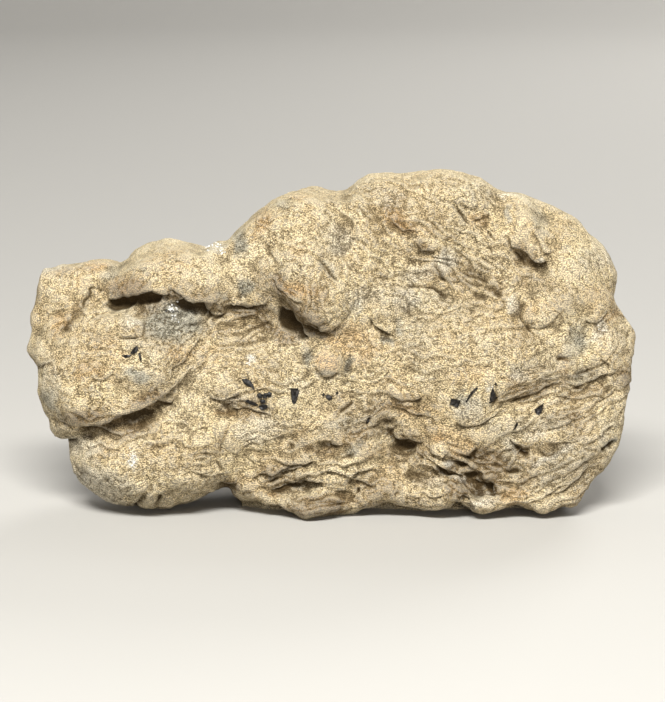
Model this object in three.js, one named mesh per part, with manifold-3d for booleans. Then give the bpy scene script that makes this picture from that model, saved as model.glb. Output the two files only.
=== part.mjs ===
// A coprolite: a fossil dropping, one piece of stone that stands on its broken foot.
// Millimetres, +Z up, the figured face towards -Y. Places on the face are given in the face's
// own frame: x to the right, s up the face from its lower edge, n straight out of the face.
import * as THREE from "three";
import { TessellateModifier } from "three/addons/modifiers/TessellateModifier.js";
import { mergeVertices } from "three/addons/utils/BufferGeometryUtils.js";
import Module from "manifold-3d";

const { clamp, smoothstep, lerp, degToRad } = THREE.MathUtils;

// Driving dimensions
const faceLean = degToRad(9); // the face leans back from upright
const frontDepth = 11; // from the widest section to the crown of the face, without its lobes
const backDepth = 25; // from the widest section to the crown of the back
const faceFlatness = 2.7; // 2 is an ellipse, more is flatter with a tighter rim
const backFlatness = 2.2;
const groundLevel = 1; // s of the ground at the widest section
const middleHeight = 34; // s of the stone's middle, which the edge's notches point to
const ledgeStep = 1; // half width of the step at a ledge
const ledgeFade = 0.2; // share of a ledge's or groove's length over which each end runs out
const ledgeTuck = 0.7; // how far the foot of a ledge's step tucks in, to how far its lip hangs
const rimWidth = 0.3; // share of the half depth over which the carving fades in from the edge
const rimWave = { size: 14, height: 2.2 }; // the edge wanders this far in and out of its plane

// The lower edge reaches forward on the right: how far, between which x it starts to, from which
// share of the half height down, and between which shares of the half length it stops.
const lowerLip = { forward: 5, from: -24, to: -8, below: 0.8, endsFrom: 0.75, endsTo: 0.95 };
// The foot that is broken off at the ground: how far it reaches down, its front and back n, its
// middle x and half length, and how softly it ends to the sides, the front and the back.
const foot = {
  drop: 12, front: -3, back: -19, middle: 15, halfLength: 37, sideFade: 10, frontFade: 2.5, backFade: 6,
};

// The mesh that is wrapped round the stone
const meshStretch = 1.8; // its length to its height
const baseDetail = 15; // of the sphere that it starts from
const spacing = 0.105; // longest edge, on an ellipsoid of half height 1
const halvings = 6; // at most, of an edge that is longer
const frontDensity = 0.64; // under 1 draws its points together on the face
const faceSpread = 0.6; // 0 leaves the points as on a sphere, 1 as evenly as on a flat disc
const backSpread = 0.3;
const curveSteps = 8; // straight steps that a curve takes from one of its points to the next
const beyond = 200; // further out than any part of the stone
const merging = 1e-5; // corners closer than this are one
const tiny = 1e-6;

// The widest section seen from the front: its upper and lower edge, from the left to the right tip.
const upperEdge = [
  [-63.2, 35], [-62.3, 37.6], [-61.9, 41.6], [-61.5, 46], [-61.4, 49.6], [-60.2, 51.4], [-57, 52.3],
  [-51.5, 53.1], [-46.5, 53.8], [-43.6, 53.1], [-40, 56.1], [-36.5, 57.3], [-33.5, 58],
  [-29, 56.9], [-26.6, 56.2], [-24, 57.7], [-22, 56.8], [-19.5, 59.4], [-16, 62.4],
  [-12.5, 65.5], [-6.5, 67.9], [-2, 68.2], [0, 67.7], [3.4, 67.9], [4.4, 69.3], [8, 70.9],
  [12.5, 71.3], [18, 71.8], [23.5, 72.5], [28, 71.2], [31.3, 70.6], [34.8, 67.7], [38.5, 67.7],
  [43, 66], [47, 64.8], [52.3, 61.3], [55, 58.2], [58.2, 55], [60, 51], [61.2, 46], [62.2, 42],
  [63.6, 38.6], [63.9, 35.4],
];
const lowerEdge = [
  [-63.2, 35], [-62.3, 32.6], [-60.9, 30], [-59.7, 25], [-57.6, 20.8], [-57, 18.4],
  [-54.2, 15.8], [-53.6, 11.4], [-50, 6.9], [-43.5, 3.2], [-38, 2.1], [-29.5, 2.4], [-25, 4.1],
  [-22, 5.2], [-17.5, 4], [-13, 2.3], [-9.5, 2.2], [-7.2, 0.2], [-4.8, -1.2], [-1, 0], [3, 0.6],
  [8.5, 1.8], [11.2, 3.1], [15, 2.2], [22.3, 0.9], [24.8, 1.8], [27.7, 4.2], [30.2, 0.6],
  [36, 1.7], [39.8, 2.4], [42, 0.9], [45.5, 0.7], [47.8, 2.1], [50, 0.9], [51.8, 3.5],
  [56.8, 10], [60.8, 17], [61.6, 22], [62, 26], [62.6, 30], [63.9, 35.4],
];
// Where a crease runs over the edge: place, radius and how far it draws the edge in.
const edgeNotches = [
  { at: [61, 44.2], radius: 2.6, depth: 2.8 },
  { at: [-61.5, 39.2], radius: 1.6, depth: 1 },
  { at: [-61, 31], radius: 1.4, depth: 1 },
  { at: [-54.6, 15.4], radius: 2, depth: 2 },
  { at: [-43.6, 53.6], radius: 1.6, depth: 0.8 },
  { at: [-26, 57], radius: 2, depth: 1.2 },
];

// Lobes and hollows of the face: centre, half sizes, turn in degrees, rise (a hollow's is
// negative) and roundness (0.5 stands up sharply at its edge, 2 melts into the face).
const faceLobes = [
  { at: [-32.5, 50.8], half: [16, 8.4], turn: -3, rise: 5, round: 0.8 }, // upper left roll
  { at: [-56, 46], half: [10, 11], turn: 0, rise: 1.5, round: 1 }, // left slab
  { at: [-46.5, 31], half: [17, 13], turn: 6, rise: 5, round: 0.75 }, // left middle lobe
  { at: [-38, 10], half: [19, 10.5], turn: 0, rise: 4, round: 0.7 }, // lower left lobe
  { at: [-54, 18.2], half: [3.8, 2.2], turn: 0, rise: 2.8, round: 0.9 }, // knob at the left edge
  { at: [-60.5, 34], half: [4.4, 3.6], turn: 0, rise: 2, round: 1 }, // left knob
  { at: [-5, 56], half: [16, 15], turn: 0, rise: 5.5, round: 0.8 }, // upper middle dome
  { at: [-5, 49], half: [10, 9.5], turn: -16, rise: 2.6, round: 0.8 }, // its hanging lip
  { at: [-0.8, 31.8], half: [4.2, 3.8], turn: 0, rise: 1.8, round: 1 }, // round knob
  { at: [-17, 24], half: [8, 3.4], turn: -8, rise: 1.5, round: 1 }, // tongue
  { at: [-16.5, 18.4], half: [8, 4], turn: 0, rise: 1.4, round: 1.2 }, // smooth patch
  { at: [-14, 31], half: [9, 5], turn: 0, rise: 1.2, round: 1.5 },
  { at: [-3, 1], half: [7, 4.6], turn: 0, rise: 5, round: 1 }, // spur that reaches the ground
  { at: [17.5, 65], half: [18, 11], turn: 0, rise: 3, round: 1 }, // top dome
  { at: [39.5, 60.5], half: [6.5, 9], turn: 8, rise: 3, round: 0.9 }, // top right block
  { at: [52, 51], half: [12, 13.5], turn: 12, rise: 4.4, round: 0.75 }, // right shoulder
  { at: [44.5, 43.6], half: [6.5, 4.8], turn: 20, rise: 2, round: 1 }, // fold under the shoulder
  { at: [59, 35], half: [7.5, 8], turn: 0, rise: 4, round: 0.9 }, // right knob
  { at: [28, 35], half: [17, 12], turn: 0, rise: 2.6, round: 1.4 }, // middle field
  { at: [52, 13], half: [19, 11], turn: 38, rise: 2.6, round: 1.1 }, // fan at the lower right
  { at: [51, 21.8], half: [12, 3.6], turn: 24, rise: 1.6, round: 1.2 },
  { at: [23.5, 5], half: [6.5, 4], turn: 0, rise: 3, round: 1 }, // lump over the foot
  { at: [12, 7], half: [8, 4.6], turn: 0, rise: 2, round: 1.2 },
  { at: [32.5, 2.5], half: [5, 3.6], turn: 0, rise: 2.4, round: 1 }, // pale lump over the foot
  { at: [43, 5], half: [8, 4.5], turn: 10, rise: 1.8, round: 1.2 },
  { at: [22.3, 14.3], half: [3.6, 3], turn: 0, rise: 2, round: 1 },
  { at: [6.5, 16], half: [6, 3.4], turn: -20, rise: 1.6, round: 1.3 },
  { at: [-34.5, 39], half: [8.5, 6.5], turn: -10, rise: 2.6, round: 0.9 }, // grey bed under the roll
  { at: [-19, 38], half: [14, 5], turn: 0, rise: -1.4, round: 1.3 }, // basin
  { at: [-30.5, 28.5], half: [3.4, 6], turn: -14, rise: -1.4, round: 1.3 },
  { at: [-7.8, 41.2], half: [5.4, 2.4], turn: -46, rise: -2.2, round: 1 }, // crescent hollow
  { at: [22, 50], half: [17, 6.5], turn: -14, rise: -1.4, round: 1.3 }, // rough hollow
  { at: [42, 52.8], half: [4.4, 2.4], turn: -34, rise: -1.8, round: 1 }, // hollow under the block
  { at: [52, 33.5], half: [4.4, 6.5], turn: -20, rise: -1.8, round: 1.3 }, // grey valley
  { at: [54, 29.8], half: [9, 2.6], turn: 12, rise: -1.5, round: 1.2 },
  { at: [40, 25.4], half: [9, 2.4], turn: 18, rise: -0.9, round: 1.2 },
  { at: [2.8, 61.5], half: [3.2, 8], turn: 12, rise: -2.2, round: 1.3 }, // grey seam
  { at: [15.7, 14.6], half: [3.4, 2.1], turn: 8, rise: -3, round: 1 }, // deep pit
  { at: [12, 18.4], half: [5, 2.6], turn: -42, rise: -1.6, round: 1.2 },
  { at: [0, 14], half: [5.5, 2.3], turn: -8, rise: -1.8, round: 1.2 },
  { at: [33, 11.5], half: [8, 4.4], turn: -4, rise: -2.4, round: 1.3 }, // rough recess
  { at: [46, 13.8], half: [5, 2.6], turn: 16, rise: -1.2, round: 1.2 },
  { at: [29.4, 7.4], half: [6.5, 2], turn: -26, rise: -3, round: 1 }, // crevice
];

// Ledges of the face. The side to the left of the path stands out by rise, the side to its right
// drops back, each fading over its reach, and the lip hangs over the step.
const faceLedges = [
  {
    path: [[-47.5, 45.6], [-43, 45], [-37, 46], [-33, 46.2], [-29.6, 44.4], [-22, 43.8], [-13, 43.8]],
    rise: 0.6, drop: 2, above: 3, below: 2, hang: 1.2,
  }, // under the upper left roll
  {
    path: [[-58.4, 21], [-52, 19.9], [-46, 20], [-42, 21.3], [-37.4, 23], [-33.4, 25.4], [-31.6, 30]],
    rise: 1, drop: 1.8, above: 3.4, below: 2.2, hang: 1.2,
  }, // under the left middle lobe
  {
    path: [[-13, 50], [-10.4, 46.6], [-7.5, 43.8], [-4, 41.2], [-1, 40], [1.6, 41], [3.4, 43.2]],
    rise: 1, drop: 1.5, above: 3, below: 2.2, hang: 1.3,
  }, // under the upper middle dome
  {
    path: [[-14.4, 8.8], [-11, 9.6], [-6, 10.6], [-2.4, 11.2]],
    rise: 0.8, drop: 1.8, above: 2.6, below: 1.8, hang: 1,
  },
  {
    path: [[-15, 6.4], [-11, 6.6], [-7.5, 7.7], [-4, 7.6], [0, 7.2]],
    rise: 0.8, drop: 1.6, above: 2, below: 2, hang: 0.8,
  },
  {
    path: [[36.6, 58], [39.4, 55], [42.6, 53], [45.4, 54]],
    rise: 1.2, drop: 1.6, above: 2.6, below: 2.2, hang: 1.2,
  }, // under the top right block
  {
    path: [[38.6, 44], [39.8, 41.2], [42.4, 39.8], [46, 40.6]],
    rise: 0.8, drop: 1.3, above: 2.4, below: 2.4, hang: 0.8,
  }, // under the fold of the right shoulder
  {
    path: [[52, 41.4], [54.6, 40.4], [57, 41], [60, 43.6]],
    rise: 0.9, drop: 1.5, above: 2.4, below: 2.4, hang: 0.9,
  }, // between the right shoulder and the right knob
  {
    path: [[33, 23.8], [38, 24.2], [43, 25.8], [48, 27.4], [52, 27.8], [56, 29.4], [60, 29.4]],
    rise: 0.7, drop: 1, above: 2.4, below: 2.2, hang: 0.7,
  }, // under the grey valley
  {
    path: [[11, 25.2], [16, 24.6], [21, 24.3]],
    rise: 0.6, drop: 1.2, above: 2, below: 2, hang: 0.5,
  },
  {
    path: [[13, 9.8], [19, 9.3], [25, 9.7], [29, 8.8], [35, 5.8]],
    rise: 0.9, drop: 1.5, above: 2.4, below: 1.8, hang: 0.9,
  }, // over the foot's lumps
  {
    path: [[9, 63.4], [13, 60.8], [19, 59]],
    rise: 0.9, drop: 1.3, above: 3, below: 3, hang: 0.8,
  },
  {
    path: [[15.5, 58], [20.3, 55.4], [24, 54.4], [30, 52.4], [34.5, 50.6]],
    rise: 0.6, drop: 1, above: 2.4, below: 2, hang: 0.8,
  },
];

// Grooves of the face: a path, the half width and the depth.
const faceGrooves = [
  { path: [[-43.4, 54], [-46, 50.6], [-48.6, 46.6], [-53, 43.4], [-57, 38]], half: 1.4, depth: 1.4 },
  { path: [[-22, 19], [-22.3, 15.5], [-24, 11.5], [-22, 8.4]], half: 1.4, depth: 1.5 },
  { path: [[-30, 4.7], [-25, 5.8], [-22, 6], [-18.5, 7.2]], half: 1.6, depth: 2.2 },
  { path: [[38.8, 45.5], [39.2, 42], [40.4, 38.6], [42.6, 36]], half: 1.5, depth: 1.5 },
  { path: [[36.5, 17], [41, 13], [47, 13.4], [53, 16.6], [60, 20.4]], half: 1.4, depth: 1 },
  { path: [[42, 5], [50, 9], [59, 16.6]], half: 1.2, depth: 0.7 },
  { path: [[47, 24.6], [53, 23.4], [60, 27.4]], half: 1.2, depth: 0.9 },
  { path: [[26, 65.4], [28.6, 61.4], [33, 62]], half: 1.4, depth: 1.3 },
  { path: [[8, 42], [10, 38.8], [13.6, 37]], half: 1.4, depth: 1.3 },
  { path: [[25, 20.4], [28.5, 18.7], [33, 20.8], [37, 23]], half: 1.4, depth: 1.3 },
  { path: [[16, 48.4], [22, 47.7], [27, 45], [34, 47]], half: 1.2, depth: 1.2 },
  { path: [[41.5, 60], [44, 56], [47.6, 55.4]], half: 1.2, depth: 1.3 },
];

// Lobes and ledges of the back, in the same terms, with x still to the right in a front view.
const backLobes = [
  { at: [-38, 40], half: [20, 15], turn: 10, rise: 4.5, round: 0.9 },
  { at: [-30, 17], half: [22, 11], turn: -6, rise: 4, round: 0.9 },
  { at: [6, 48], half: [19, 17], turn: 20, rise: 5, round: 0.9 },
  { at: [36, 40], half: [17, 19], turn: -15, rise: 4, round: 0.9 },
  { at: [12, 18], half: [20, 10], turn: 8, rise: 3.6, round: 1 },
  { at: [43, 14], half: [14, 11], turn: 25, rise: 3.6, round: 0.9 },
  { at: [-12, 33], half: [9, 5], turn: 35, rise: -3.6, round: 1.2 },
  { at: [23, 30], half: [8, 4], turn: -20, rise: -3, round: 1.2 },
];
const backLedges = [
  {
    path: [[-54, 31], [-44, 27.5], [-32, 28], [-20, 30]],
    rise: 1.4, drop: 2.2, above: 6, below: 5, hang: 1.2,
  },
  {
    path: [[-8, 36], [4, 32], [16, 31], [26, 34]],
    rise: 1.4, drop: 2.2, above: 6, below: 5, hang: 1.2,
  },
  {
    path: [[22, 25], [34, 22], [45, 24], [54, 29]],
    rise: 1.4, drop: 2.2, above: 5, below: 5, hang: 1,
  },
];

// Lumps all over: their size and height.
const faceLumps = [{ size: 13, height: 0.8 }, { size: 5.5, height: 0.9 }, { size: 2.9, height: 0.45 }];
const backLumps = [{ size: 13, height: 2.6 }, { size: 5.5, height: 0.9 }, { size: 2.9, height: 0.45 }];

// Repeatable smooth noise from -1 to 1, with lumps about one unit across.
function latticeValue(i, j, k) {
  const mixed = Math.sin(i * 127.1 + j * 311.7 + k * 74.7) * 43758.5453;
  return 2 * (mixed - Math.floor(mixed)) - 1;
}
function smoothNoise(x, y, z) {
  const [i, j, k] = [Math.floor(x), Math.floor(y), Math.floor(z)];
  const ease = (t) => t * t * (3 - 2 * t);
  const [u, v, w] = [ease(x - i), ease(y - j), ease(z - k)];
  const alongX = (dj, dk) => lerp(latticeValue(i, j + dj, k + dk), latticeValue(i + 1, j + dj, k + dk), u);
  return lerp(lerp(alongX(0, 0), alongX(1, 0), v), lerp(alongX(0, 1), alongX(1, 1), v), w);
}

// Height that a lobe adds at a point of the face.
function lobeHeight({ at, half, turn, rise, round }, x, s) {
  const [cos, sin] = [Math.cos(degToRad(turn)), Math.sin(degToRad(turn))];
  const along = ((x - at[0]) * cos + (s - at[1]) * sin) / half[0];
  const across = ((s - at[1]) * cos - (x - at[0]) * sin) / half[1];
  const inside = 1 - along * along - across * across;
  return inside > 0 ? rise * inside ** round : 0;
}

// A path as short straight steps.
function traced(path) {
  const curve = new THREE.CatmullRomCurve3(path.map(([x, s]) => new THREE.Vector3(x, s, 0)));
  return curve.getPoints(path.length * curveSteps).map((p) => [p.x, p.y]);
}

// Signed distance to a path (positive to its left), the way to its left, and a share that fades
// from 1 to 0 over each end.
function fromPath(steps, x, s) {
  let best = { distance: Infinity };
  for (let i = 0; i + 1 < steps.length; i++) {
    const [[ax, as], [bx, bs]] = [steps[i], steps[i + 1]];
    const [ux, us] = [bx - ax, bs - as];
    const t = clamp(((x - ax) * ux + (s - as) * us) / (ux * ux + us * us), 0, 1);
    const [dx, ds] = [x - ax - t * ux, s - as - t * us];
    const distance = Math.hypot(dx, ds);
    if (distance < Math.abs(best.distance)) {
      const length = Math.hypot(ux, us);
      const left = [-us / length, ux / length];
      const share = (i + t) / (steps.length - 1);
      best = { distance: ux * ds - us * dx < 0 ? -distance : distance, left, share };
    }
  }
  best.fade = smoothstep(Math.min(best.share, 1 - best.share), 0, ledgeFade);
  return best;
}

// What the carving does to a point of the face: how far it stands out, and how far it moves within
// the face where a lip hangs over its step.
function carve({ lobes, ledges, grooves }, x, s) {
  let height = lobes.reduce((sum, lobe) => sum + lobeHeight(lobe, x, s), 0);
  const shift = [0, 0];
  for (const ledge of ledges) {
    const { distance, left, fade } = fromPath(ledge.steps, x, s);
    const out = smoothstep(distance, -ledgeStep, ledgeStep);
    const above = Math.exp(-Math.max(distance, 0) / ledge.above);
    const below = Math.exp(Math.min(distance, 0) / ledge.below);
    height += fade * lerp(-ledge.drop * below, ledge.rise * above, out);
    const hang = fade * ledge.hang * lerp(ledgeTuck * below ** 3, -(above ** 2), out);
    shift[0] += left[0] * hang;
    shift[1] += left[1] * hang;
  }
  for (const groove of grooves) {
    const { distance, fade } = fromPath(groove.steps, x, s);
    height -= fade * groove.depth * Math.exp(-((distance / groove.half) ** 2));
  }
  return { height, shift };
}

// Height of an edge of the outline above a place along the stone.
function edgeHeight(points) {
  const curve = new THREE.CatmullRomCurve3(
    points.map(([x, s]) => new THREE.Vector3(x, s, 0)), false, "centripetal",
  );
  const steps = curve.getPoints(points.length * curveSteps).sort((a, b) => a.x - b.x);
  return (x) => {
    const after = clamp(steps.findIndex((p) => p.x > x), 1, steps.length - 1);
    const [a, b] = [steps[after - 1], steps[after]];
    return lerp(a.y, b.y, clamp((x - a.x) / (b.x - a.x || 1), 0, 1));
  };
}

for (const line of [...faceLedges, ...faceGrooves, ...backLedges]) line.steps = traced(line.path);
const face = { lobes: faceLobes, ledges: faceLedges, grooves: faceGrooves };
const back = { lobes: backLobes, ledges: backLedges, grooves: [] };
const upperHeight = edgeHeight(upperEdge);
const lowerHeight = edgeHeight(lowerEdge);
const [leftTip, rightTip] = [upperEdge[0][0], upperEdge.at(-1)[0]];

// Draws a place near a notch of the edge in towards the stone's middle.
function drawIn({ at, radius, depth }, x, s) {
  const drawnIn = depth * Math.exp(-(((x - at[0]) ** 2 + (s - at[1]) ** 2) / radius ** 2));
  const toMiddle = Math.hypot(x, s - middleHeight);
  return [x - (x / toMiddle) * drawnIn, s - ((s - middleHeight) / toMiddle) * drawnIn];
}

// How far the stone bulges at a share of the way from its middle to its edge.
function bulge(share, flatness) {
  return Math.max(1 - share ** flatness, 0) ** (1 / flatness);
}

// Carries a point of the unit sphere (x, y across the face, z out of it) to the stone's surface.
function toSurface(unit) {
  const isFront = unit.z > 0;
  const across = Math.max(Math.hypot(unit.x, unit.y), tiny);
  const evenAcross = Math.sqrt(1 - Math.abs(unit.z));
  const radius = lerp(across, evenAcross, isFront ? faceSpread : backSpread);
  const [discX, discY] = [(unit.x / across) * radius, (unit.y / across) * radius];
  const chord = clamp(discY / Math.sqrt(Math.max(1 - discX * discX, tiny)), -1, 1);
  let x = lerp(leftTip, rightTip, (discX + 1) / 2);
  let s = lerp(lowerHeight(x), upperHeight(x), (chord + 1) / 2);
  for (const notch of edgeNotches) [x, s] = drawIn(notch, x, s);

  const offRim = smoothstep(Math.abs(unit.z), 0, rimWidth); // 0 at the edge, 1 on the faces
  const { height, shift } = carve(isFront ? face : back, x, s);
  const crown = isFront ? frontDepth : backDepth;
  const depth = crown * bulge(radius, isFront ? faceFlatness : backFlatness) + height * offRim;
  const atBottom = smoothstep(-chord, lowerLip.below, 1);
  const offEnds = 1 - smoothstep(Math.abs(discX), lowerLip.endsFrom, lowerLip.endsTo);
  const forward = lowerLip.forward * atBottom * offEnds * smoothstep(x, lowerLip.from, lowerLip.to);
  const wander = rimWave.height * smoothNoise(x / rimWave.size, s / rimWave.size, 0);
  const placed = {
    x: x + shift[0] * offRim,
    s: s + shift[1] * offRim,
    n: forward + wander + (isFront ? depth : -depth),
  };

  let lumps = 0;
  for (const lump of isFront ? faceLumps : backLumps) {
    lumps += lump.height * smoothNoise(x / lump.size, s / lump.size, placed.n / lump.size);
  }
  placed.n += unit.z * lumps * offRim;
  placed.x += unit.x * lumps * offRim;
  placed.s += unit.y * lumps * offRim;

  const offMiddle = Math.abs(placed.x - foot.middle);
  const alongFoot = 1 - smoothstep(offMiddle, foot.halfLength - foot.sideFade, foot.halfLength);
  const behindLip = 1 - smoothstep(placed.n, foot.front, foot.front + foot.frontFade);
  const beforeBack = smoothstep(placed.n, foot.back - foot.backFade, foot.back);
  placed.s -= foot.drop * atBottom * offEnds * alongFoot * behindLip * beforeBack;
  return placed;
}

// Stands the face frame up, leaning back.
function toUpright({ x, s, n }) {
  const up = s - groundLevel;
  const y = up * Math.sin(faceLean) - n * Math.cos(faceLean);
  const z = up * Math.cos(faceLean) + n * Math.sin(faceLean);
  return [x, y, z];
}

// Draws a unit sphere's points together round its front pole, keeping its triangles even.
function gatherToFront(p) {
  if (1 + p.z < tiny) return p;
  const [u, v] = [(p.x / (1 + p.z)) * frontDensity, (p.y / (1 + p.z)) * frontDensity];
  const squared = u * u + v * v;
  return p.set((2 * u) / (1 + squared), (2 * v) / (1 + squared), (1 - squared) / (1 + squared));
}

// A closed mesh of plain positions, its shared corners merged.
function closedMesh(geometry) {
  geometry.deleteAttribute("normal");
  geometry.deleteAttribute("uv");
  return mergeVertices(geometry, merging);
}

function wholeStone() {
  const sphere = new THREE.IcosahedronGeometry(1, baseDetail);
  sphere.scale(meshStretch, 1, 1);
  const evenSphere = new TessellateModifier(spacing, halvings).modify(sphere);
  evenSphere.scale(1 / meshStretch, 1, 1);
  const geometry = closedMesh(evenSphere);
  const positions = geometry.attributes.position;
  const unit = new THREE.Vector3();
  for (let i = 0; i < positions.count; i++) {
    gatherToFront(unit.fromBufferAttribute(positions, i).normalize());
    positions.setXYZ(i, ...toUpright(toSurface(unit)));
  }
  return geometry;
}

const wasm = await Module();
wasm.setup();

function toManifold(geometry) {
  return new wasm.Manifold(new wasm.Mesh({
    numProp: 3,
    vertProperties: geometry.attributes.position.array,
    triVerts: new Uint32Array(geometry.index.array),
  }));
}

// Breaks the foot off flat at the ground.
function stoneGeometry() {
  const halfSpace = new THREE.BoxGeometry(2 * beyond, 2 * beyond, beyond).translate(0, 0, beyond / 2);
  const aboveGround = closedMesh(halfSpace);
  const stone = toManifold(wholeStone()).intersect(toManifold(aboveGround)).getMesh();
  const geometry = new THREE.BufferGeometry();
  geometry.setAttribute("position", new THREE.BufferAttribute(stone.vertProperties, 3));
  geometry.setIndex(new THREE.BufferAttribute(stone.triVerts, 1));
  geometry.computeBoundingBox();
  const middle = geometry.boundingBox.getCenter(new THREE.Vector3());
  geometry.translate(-middle.x, -middle.y, 0);
  geometry.computeVertexNormals();
  return geometry;
}

const stoneMaterial = new THREE.MeshStandardMaterial({ color: 0xc4ad84, roughness: 0.92, metalness: 0 });
const coprolite = new THREE.Mesh(stoneGeometry(), stoneMaterial);
coprolite.name = "coprolite";

const part = new THREE.Group();
part.add(coprolite);
export default part;
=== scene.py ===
import math
import time

import bpy
import numpy as np
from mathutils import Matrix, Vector
from mathutils.bvhtree import BVHTree


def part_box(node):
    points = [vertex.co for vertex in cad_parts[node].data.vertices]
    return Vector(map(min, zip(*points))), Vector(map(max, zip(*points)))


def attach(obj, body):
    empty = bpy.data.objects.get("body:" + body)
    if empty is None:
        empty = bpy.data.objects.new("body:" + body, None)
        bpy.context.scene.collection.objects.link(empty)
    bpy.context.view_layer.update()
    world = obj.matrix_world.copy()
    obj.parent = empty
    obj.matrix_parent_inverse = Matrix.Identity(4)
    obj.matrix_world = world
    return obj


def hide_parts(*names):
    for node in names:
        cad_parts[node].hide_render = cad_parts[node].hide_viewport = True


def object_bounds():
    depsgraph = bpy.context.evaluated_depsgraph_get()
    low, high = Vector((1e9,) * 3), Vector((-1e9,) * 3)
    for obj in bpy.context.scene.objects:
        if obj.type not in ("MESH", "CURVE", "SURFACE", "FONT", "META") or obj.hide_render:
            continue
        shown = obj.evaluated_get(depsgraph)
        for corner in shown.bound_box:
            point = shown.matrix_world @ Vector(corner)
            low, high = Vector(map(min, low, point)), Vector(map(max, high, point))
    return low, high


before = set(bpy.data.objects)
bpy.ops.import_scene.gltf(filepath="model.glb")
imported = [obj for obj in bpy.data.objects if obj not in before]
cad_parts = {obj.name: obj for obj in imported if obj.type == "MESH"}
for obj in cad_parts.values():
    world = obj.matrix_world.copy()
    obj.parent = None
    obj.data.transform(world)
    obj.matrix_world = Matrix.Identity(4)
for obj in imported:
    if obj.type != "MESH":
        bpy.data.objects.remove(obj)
cadLow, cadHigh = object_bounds()
stoneLow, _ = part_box("coprolite")
started = time.time()
mm = 0.001


def report(words):
    print(f"[coprolite] {words} ({time.time() - started:.1f} s)")


# Places on the stone are in millimetres on its leaning face: across to the right, up from the
# foot, and out towards the viewer.
face = {
    "lean": 9.0,            # degrees the face leans back
    "leftReach": 63.18,     # from the middle mark to the left end
    "frontReach": 12.18,    # from the mark to the most forward point of the foot
    "eye": (0.52, 66.1, 608.6),   # where the marks are looked at from: across, up, out
    "footSink": 1.0,        # how much of the foot is ground off flat
    "wrap": (-6.0, -1.5),   # marks made for the face fade out between these two depths
    "turnedAway": (-0.3, 0.15),   # and where the surface turns away by this much
}


def toFace(points):
    lean = math.radians(face["lean"])
    x = points[:, 0] / mm - stoneLow.x / mm - face["leftReach"]
    y = points[:, 1] / mm - stoneLow.y / mm - face["frontReach"]
    z = points[:, 2] / mm
    up = y * math.sin(lean) + z * math.cos(lean) + face["footSink"]
    out = -y * math.cos(lean) + z * math.sin(lean)
    return np.stack([x, up, out], axis=1)


def fromFace(points):
    lean = math.radians(face["lean"])
    up = points[:, 1] - face["footSink"]
    x = points[:, 0] + face["leftReach"] + stoneLow.x / mm
    y = up * math.sin(lean) - points[:, 2] * math.cos(lean) + face["frontReach"] + stoneLow.y / mm
    z = up * math.cos(lean) + points[:, 2] * math.sin(lean)
    return np.stack([x, y, z], axis=1) * mm


def asSeen(places):
    # where each place shows on the flat face from the eye
    across, up, out = face["eye"]
    depth = places[:, 2]
    scale = out / (out - depth)
    x = across + (places[:, 0] - across) * scale
    y = up + (places[:, 1] - up) * scale
    return np.stack([x, y, depth], axis=1)


def turnToFace(directions):
    lean = math.radians(face["lean"])
    up = directions[:, 1] * math.sin(lean) + directions[:, 2] * math.cos(lean)
    out = -directions[:, 1] * math.cos(lean) + directions[:, 2] * math.sin(lean)
    return np.stack([directions[:, 0], up, out], axis=1)


# Noise, in millimetres, always the same for the same seed.
def smoothStep(low, high, value):
    t = np.clip((value - low) / (high - low), 0, 1)
    return t * t * (3 - 2 * t)


def noiseTables(seed, count=256):
    rng = np.random.default_rng(seed)
    directions = rng.normal(size=(count, 3))
    directions /= np.linalg.norm(directions, axis=1)[:, None]
    return rng.permutation(count), directions, rng.random((count, 3))


def cellKey(order, cell):
    last = len(order) - 1
    return order[(order[(order[cell[:, 0] & last] + cell[:, 1]) & last] + cell[:, 2]) & last]


def waveNoise(points, size, seed, level=1.7):    # level brings it to about -1 to 1
    order, directions, _ = noiseTables(seed)
    scaled = points / size
    cell = np.floor(scaled).astype(np.int64)
    part = scaled - cell
    ease = part ** 3 * (part * (part * 6 - 15) + 10)
    total = np.zeros(len(points))
    for corner in np.ndindex(2, 2, 2):
        slope = directions[cellKey(order, cell + corner)]
        share = np.prod(np.where(corner, ease, 1 - ease), axis=1)
        total += (slope * (part - corner)).sum(axis=1) * share
    return total * level


def waves(points, size, seeds):
    return np.stack([waveNoise(points, size, seed) for seed in seeds], axis=1)


def layeredNoise(points, size, seed, layers=3):
    return sum(waveNoise(points, size / 2 ** layer, seed + layer) * 0.5 ** layer for layer in range(layers))


def cellNoise(points, size, seed, margin=0.1):    # margin keeps the seeds off the cell walls
    order, _, jitter = noiseTables(seed)
    scaled = points / size
    cell = np.floor(scaled).astype(np.int64)
    nearest = np.full(len(points), np.inf)
    second = np.full(len(points), np.inf)
    level = np.zeros(len(points))
    for step in np.ndindex(3, 3, 3):
        there = cell + step - 1
        key = cellKey(order, there)
        distance = np.linalg.norm(there + margin + (1 - 2 * margin) * jitter[key] - scaled, axis=1)
        level = np.where(distance < nearest, jitter[key, 0], level)
        second = np.minimum(second, np.maximum(nearest, distance))
        nearest = np.minimum(nearest, distance)
    return nearest, second - nearest, level


# Mesh helpers.
def meshArrays(mesh):
    points = np.empty(len(mesh.vertices) * 3)
    mesh.vertices.foreach_get("co", points)
    normals = np.empty(len(mesh.vertices) * 3, np.float32)
    mesh.vertex_normals.foreach_get("vector", normals)
    edges = np.empty(len(mesh.edges) * 2, np.int32)
    mesh.edges.foreach_get("vertices", edges)
    return points.reshape(-1, 3), normals.reshape(-1, 3).astype(float), edges.reshape(-1, 2)


def placeVertices(mesh, points):
    mesh.vertices.foreach_set("co", points.astype(np.float32).ravel())
    mesh.update()


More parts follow.
